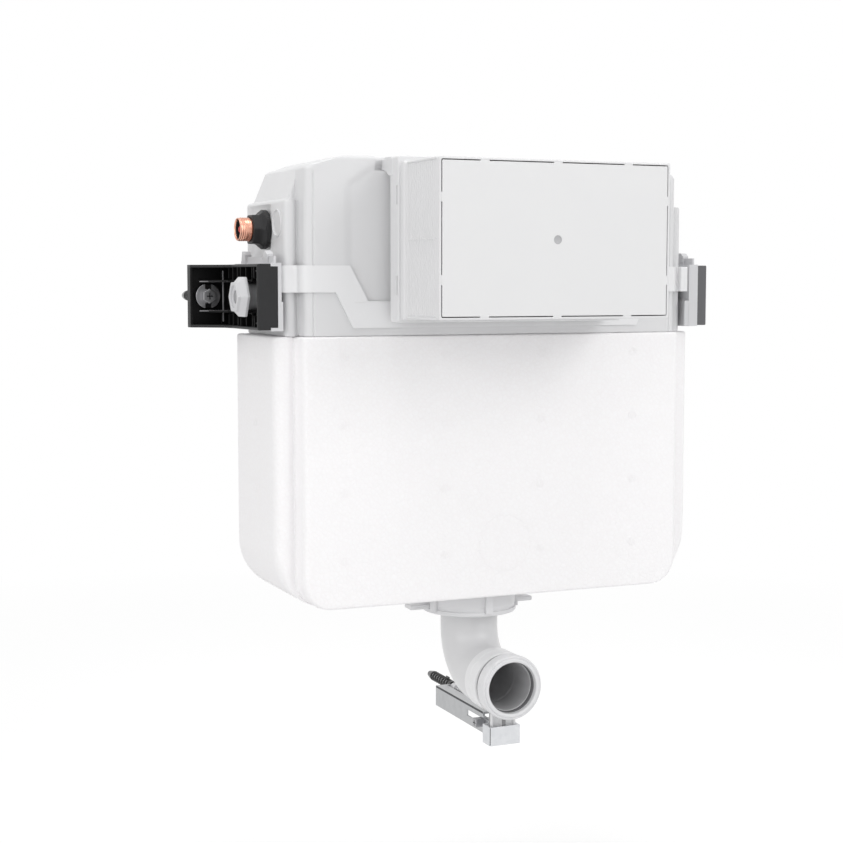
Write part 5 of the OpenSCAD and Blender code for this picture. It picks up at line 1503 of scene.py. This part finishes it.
def bend_shape():
    """The elbow with its bore, its foot with ribs, and two small ejector marks."""
    stations = bend_stations()
    rings = [round_ring(*station) for station in stations]
    foot_y, foot_low, foot_high = -138.0, BEND_LOW.z, SOCKET_Z - 25
    parts = [skin(rings + bore_rings(reversed(stations), 0.0), True)]
    parts.append(slab((-12.4, foot_y - 3.2, foot_low), (12.4, foot_y, foot_high), 0.5))
    for x, half, reach, edge in ((0, 1.9, 6.4, 0.5), (-11.4, 1, 5.6, 0.4), (11.4, 1, 5.6, 0.4)):
        parts.append(slab((x - half, foot_y - reach, foot_low + 0.2),
                          (x + half, foot_y - 1, foot_high), edge))
    for y in (-126.0, -137.0):
        parts.append(turned([(0, 0.1), (1.7, 0.1), (2.0, 0.3), (2.0, 1.2), (0, 1.2)], "x",
                            (-SLEEVE_OUT - 0.35, y, SOCKET_Z + 2), 24))
    return joined(parts)


def bore_shade_skin():
    """A grey skin inside the bend's bore: painted shade."""
    stations = [station for station in bend_stations()
                if station[0][2] < BEND_HIGH.z - 8 and station[0][1] > BEND_LOW.y + 0.3]
    return skin(bore_rings(stations, 0.05) + bore_rings(reversed(stations), 0.45), True)


def socket_ring_shape():
    """The ring round the socket's mouth, with a rolled rim and a flat inner face."""
    profile = [(23.6, 1.2), (24.0, 0.4), (24.6, 0.0), (26.4, 0.0), (26.9, 0.3), (27.2, 1.1),
               (27.6, 1.3), (28.3, 0.9), (29.0, 1.1), (29.6, 2.0), (30.0, 3.6), (30.0, 5.2),
               (29.7, 6.6), (29.2, 7.6), (29.1, 8.4), (29.5, 9.4), (29.6, 12.6), (29.3, 13.8),
               (28.6, 14.7), (27.7, 15.0), (27.45, 14.7), (27.45, 5.0), (23.6, 5.0)]
    return turned(profile, "y", (0, SOCKET_LOW.y, SOCKET_Z), 96)


# Wall arm and clip

ARM_LOW, ARM_HIGH = span("wall_arm")
CLIP_LOW = span("foot_clip")[0]
BOLT_LOW, BOLT_HIGH = span("clip_bolt")


def arm_crease_shade():
    """A dark strip along the arm's fold: painted shade and dark reflection."""
    return slab((ARM_LOW.x - 0.06, ARM_LOW.y + 23, ARM_HIGH.z - 1.9),
                (ARM_LOW.x + 0.5, -1, ARM_HIGH.z + 0.06), 0.15)


def clip_crease_shade():
    """A dark strip along the clip's bent left corner: painted shade and dark reflection."""
    return slab((CLIP_LOW.x - 0.05, CLIP_LOW.y - 0.05, CLIP_LOW.z + 0.6),
                (CLIP_LOW.x + 0.55, CLIP_LOW.y + 0.55, CLIP_LOW.z + 17.2), 0.15)


def bolt_shape():
    """The clip's bolt: a block head with a cross, and a shank in the arm's slot."""
    x = BOLT_LOW.x
    axis_y, axis_z = (BOLT_LOW.y + BOLT_HIGH.y) / 2, (BOLT_LOW.z + BOLT_HIGH.z) / 2
    y, z = axis_y - 1.5, axis_z + 1.3
    head = slab((x, y - 4, z - 4), (x + 9, y + 4, z + 4), 0.6)
    marks = [slab((x - 1, y - a, z - b), (x + 3.2, y + a, z + b), 0)
             for a, b in ((2.8, 0.45), (0.45, 2.8))]
    shank = rod("x", (x + 8.8, axis_y, axis_z), BOLT_HIGH.x - x - 8.8, 2.4, 0.4, 32)
    return joined([cut(head, marks), shank])


SPACER_LOW, SPACER_HIGH = span("arm_spacer")
ARM_SCREW_LOW, ARM_SCREW_HIGH = span("arm_screw")
ARM_X = (ARM_SCREW_LOW.x + ARM_SCREW_HIGH.x) / 2
ARM_Z = (ARM_SCREW_LOW.z + ARM_SCREW_HIGH.z) / 2


def spacer_shape():
    """The arm's spacer: a white cone with a rim, on a narrower core."""
    end = SPACER_LOW.y - SPACER_HIGH.y
    profile = [(3.6, 0), (4.4, 0), (4.6, -3), (6.35, -9.6), (6.35, -11.8), (5.6, -12.2),
               (4.6, -12.2), (4.6, end), (3.6, end)]
    return turned(profile, "y", (ARM_X, SPACER_HIGH.y, ARM_Z), 48)


def spacer_band():
    """The grey sleeve over the spacer's core, with a groove round it."""
    start, end = SPACER_HIGH.y - 12.4, SPACER_LOW.y + 0.4
    profile = [(4.6, start), (5.6, start), (6.0, start - 0.5), (6.0, start - 6),
               (5.2, start - 6.6), (5.2, start - 7.6), (6.0, start - 8.2), (6.0, end + 0.5),
               (5.5, end), (4.6, end)]
    return turned(profile, "y", (ARM_X, 0, ARM_Z), 48)


# All pieces

def inside_parts():
    """The parts that work inside the tank, with rounded edges, and the hose as it is."""
    widths = {
        "inlet_gasket": 0.2, "stop_valve_body": 0.35, "stop_valve_knob": 0.4, "hose_nuts": 0.3,
        "fill_valve_body": 0.4, "fill_valve_lever": 0.25, "fill_lever_pin": 0.2,
        "fill_float": 0.5, "float_rod": 0.2, "valve_bridge": 0.4, "lever_pin": 0.2,
        "full_flush_lever": 0.35, "half_flush_lever": 0.35, "lift_head": 0.35,
        "overflow_tube": 0.3, "flush_seal": 0.3, "half_flush_rod": 0.25, "half_flush_float": 0.4,
        "valve_cage": 0.4, "valve_seat": 0.4, "seat_gasket": 0.2, "bend_seal": 0.25,
        "socket_seal": 0.4,
    }
    for node, width in widths.items():
        dress(node, width)
    stand_in("supply_hose", copy_of("supply_hose"))


def body_parts():
    """Tank, jacket, strap, box and cover."""
    stand_in("tank_shell", tank_shape(), 50)
    stand_in("insulation_jacket", jacket_shape(), 50)
    extra("jacket_vent_marks", jacket_marks(), "insulation_jacket", crease=30)
    # painted light: the strap in a whiter copy of the tank's plastic
    dress("carrier_strap", 0.45, strap_extras(), "strap")
    stand_in("access_box", access_box_shape(), 30)
    stand_in("access_cover", cover_shape(), 30)
    extra("access_cover_mark", cover_mark(), "access_cover", "mark")


def side_parts(hand, side):
    """The bracket, holder and lock nut of one side."""
    bracket, holder, nut = hand + "_bracket", hand + "_holder", hand + "_lock_nut"
    stand_in(bracket, bracket_shape(side))
    # painted highlights on the rib edges, in the collar's grey
    extra(bracket + "_rib_edges", rib_highlights(side), bracket, "collar")
    dress(holder, 0.45, [holder_extras(side)])
    # painted shade on the stud's end, in the collar's grey
    extra(holder + "_stud_cap", stud_end_shade(side), holder, "collar")
    stand_in(nut, lock_nut_shape(side), 24)


def wall_parts():
    """Collars, and the two wall fixings with their plugs."""
    dress("lock_collars", 0.5, finish="collar")
    stand_in("wall_washers", washer_shape(), finish="dull_steel")
    y = span("wall_screws")[0].y
    screw = hex_screw("wall_screws", FIXING_X, 0, flats=12.0, tall=5.5, seat=5.4, recess=6.4,
                      deep=3.6, edge=0.6, thread_y=y + 12)
    stand_in("wall_screws", mirrored(screw), finish="dull_steel")
    # painted shade in the cross recesses
    extra("wall_screws_recess_shade", cross_recess_shade(), "wall_screws", "dark_steel")
    stand_in("wall_plugs", mirrored(plug_shape("wall_plugs", FIXING_X, 0)))
    # painted highlights in the plugs' grooves
    wall_plug_highlights = mirrored(plug_groove_highlights("wall_plugs", FIXING_X, 0))
    extra("wall_plugs_highlights", wall_plug_highlights, "wall_plugs", "zinc_steel")


def inlet_parts():
    """The threaded inlet, its nut and strainer, and the blanking plugs."""
    stand_in("inlet_nipple", nipple_shape())
    # painted shade in the inlet's bore, in the brackets' black
    extra("inlet_bore_shade", inlet_shade_sleeve(), "inlet_nipple", "black_plastic")
    stand_in("inlet_lock_nut", inlet_nut_shape(), 20)
    stand_in("inlet_strainer", strainer_shape())
    stand_in("blanking_plugs", blanks_shape())


def outlet_parts():
    """The outlet's nut, the flush bend and the ring round its socket."""
    stand_in("outlet_lock_nut", outlet_nut_shape())
    # the bend's finish paints light on the sleeve and shade on the elbow and in the groove
    stand_in("flush_bend", bend_shape(), finish="elbow")
    # painted shade inside the bend's bore
    extra("flush_bend_bore_shade", bore_shade_skin(), "flush_bend", "bore")
    stand_in("socket_ring", socket_ring_shape(), 50)


def arm_parts():
    """The wall arm, the clip round the bend's foot, and their fixings."""
    dress("wall_arm", 0.35, finish="arm_steel")
    # painted shade and dark reflection along the arm's fold
    extra("wall_arm_crease_shade", arm_crease_shade(), "wall_arm", "dark_steel")
    dress("foot_clip", 0.45)
    # painted shade and dark reflection along the clip's bent corner
    extra("foot_clip_crease_shade", clip_crease_shade(), "foot_clip", "dark_steel")
    stand_in("clip_bolt", bolt_shape(), finish="dull_steel")
    dress("clip_nut", 0.2)
    screw = hex_screw("arm_screw", ARM_X, ARM_Z, flats=10.0, tall=4.4, seat=4.2, recess=5.4,
                      deep=3.0, edge=0.5, thread_y=2)
    stand_in("arm_screw", screw)
    stand_in("arm_spacer", spacer_shape())
    extra("arm_spacer_band", spacer_band(), "arm_spacer", "dull_steel")
    stand_in("arm_plug", plug_shape("arm_plug", ARM_X, ARM_Z))
    # painted highlights in the plug's grooves
    extra("arm_plug_highlights", plug_groove_highlights("arm_plug", ARM_X, ARM_Z), "arm_plug", "zinc_steel")


body_parts()
side_parts("right", 1)
side_parts("left", -1)
wall_parts()
inlet_parts()
outlet_parts()
arm_parts()
inside_parts()
for name, solid in frame["nodes"].items():
    solid.data.materials.clear()
    solid.data.materials.append(FINISHES[SLOT_OF[name]])


# Floor, light and camera

def lamp(name, place, target, size, watts):
    """A soft square lamp that faces a point."""
    light = bpy.data.lights.new(name, "AREA")
    light.shape = "SQUARE"
    light.size = size
    light.energy = watts
    made = thing(name, light)
    made.location = place
    made.rotation_euler = (Vector(target) - Vector(place)).to_track_quat("-Z", "Y").to_euler()


def seen_mask(start):
    """1 for rays from the camera, and for those that mirrors and glass send on."""
    camera, glossy, through = (start.node("ShaderNodeLightPath", None, None, f"Is {kind} Ray")
                               for kind in ("Camera", "Glossy", "Transmission"))
    return (camera + glossy + through).clamped()


def white_floor():
    """A pale floor below the hung cistern that keeps its shadow and fades to white far out."""
    finish, place = new_finish("floor_white")
    matt = place.node("ShaderNodeBsdfDiffuse", None, {"Color": (0.8, 0.8, 0.8, 1)})
    glow = place.node("ShaderNodeEmission", None, {"Color": (1, 1, 1, 1), "Strength": 0.3})
    white = place.node("ShaderNodeEmission", None, {"Color": (1, 1, 1, 1), "Strength": 1.0})
    near = place.node("ShaderNodeAddShader", None, {0: matt, 1: glow})
    away = place.node("ShaderNodeVectorMath", {"operation": "LENGTH"}, {0: place}, "Value")
    fade_start = 0.9
    faded = place.node("ShaderNodeMixShader", None,
                       {0: ((away - fade_start) * 0.9).clamped(), 1: near, 2: white})
    shown = place.node("ShaderNodeMixShader", None, {0: seen_mask(place), 1: matt, 2: faded})
    place.node("ShaderNodeOutputMaterial", None, {"Surface": shown})
    shape = bmesh.new()
    reach, level = 30, -0.6
    bmesh.ops.create_grid(shape, x_segments=2, y_segments=2, size=reach)
    shape.transform(Matrix.Translation((0, 0, level)))
    floor = thing("floor", mesh_from(shape))
    floor.data.materials.append(finish)


def studio():
    """White surroundings, a large lamp over the front right and weaker ones left and above."""
    world = bpy.data.worlds.new("studio")
    world.use_nodes = True
    world.node_tree.nodes.clear()
    start = Strand(world.node_tree)
    level = 0.66 + seen_mask(start) * 0.34
    sky = start.node("ShaderNodeBackground", None, {"Color": (1, 1, 1, 1), "Strength": level})
    start.node("ShaderNodeOutputWorld", None, {"Surface": sky})
    bpy.context.scene.world = world
    lamp("key_lamp", (1.5, -2.4, 1.4), (0, -0.1, -0.1), 1.6, 21.5)
    lamp("side_lamp", (-2.6, -1.6, 0.7), (0, -0.1, -0.1), 1.8, 17.5)
    lamp("top_lamp", (-0.2, -0.5, 2.1), (0, -0.1, 0), 1.2, 16)
    white_floor()
    bpy.context.scene.view_settings.view_transform = "Standard"


def photo_camera():
    """The photograph's own view: 70 mm lens, from the front left and a little above."""
    lens = bpy.data.cameras.new("photo_camera")
    lens.lens = 70
    lens.sensor_width = 36
    lens.clip_start = 0.01
    lens.clip_end = 100
    down, left = 4.93, 23.14
    made = thing("photo_camera", lens)
    made.location = (-0.6524, -1.4776, 0.01467)
    made.rotation_euler = (math.radians(90 - down), 0, math.radians(-left))
    bpy.context.scene.camera = made


studio()
photo_camera()
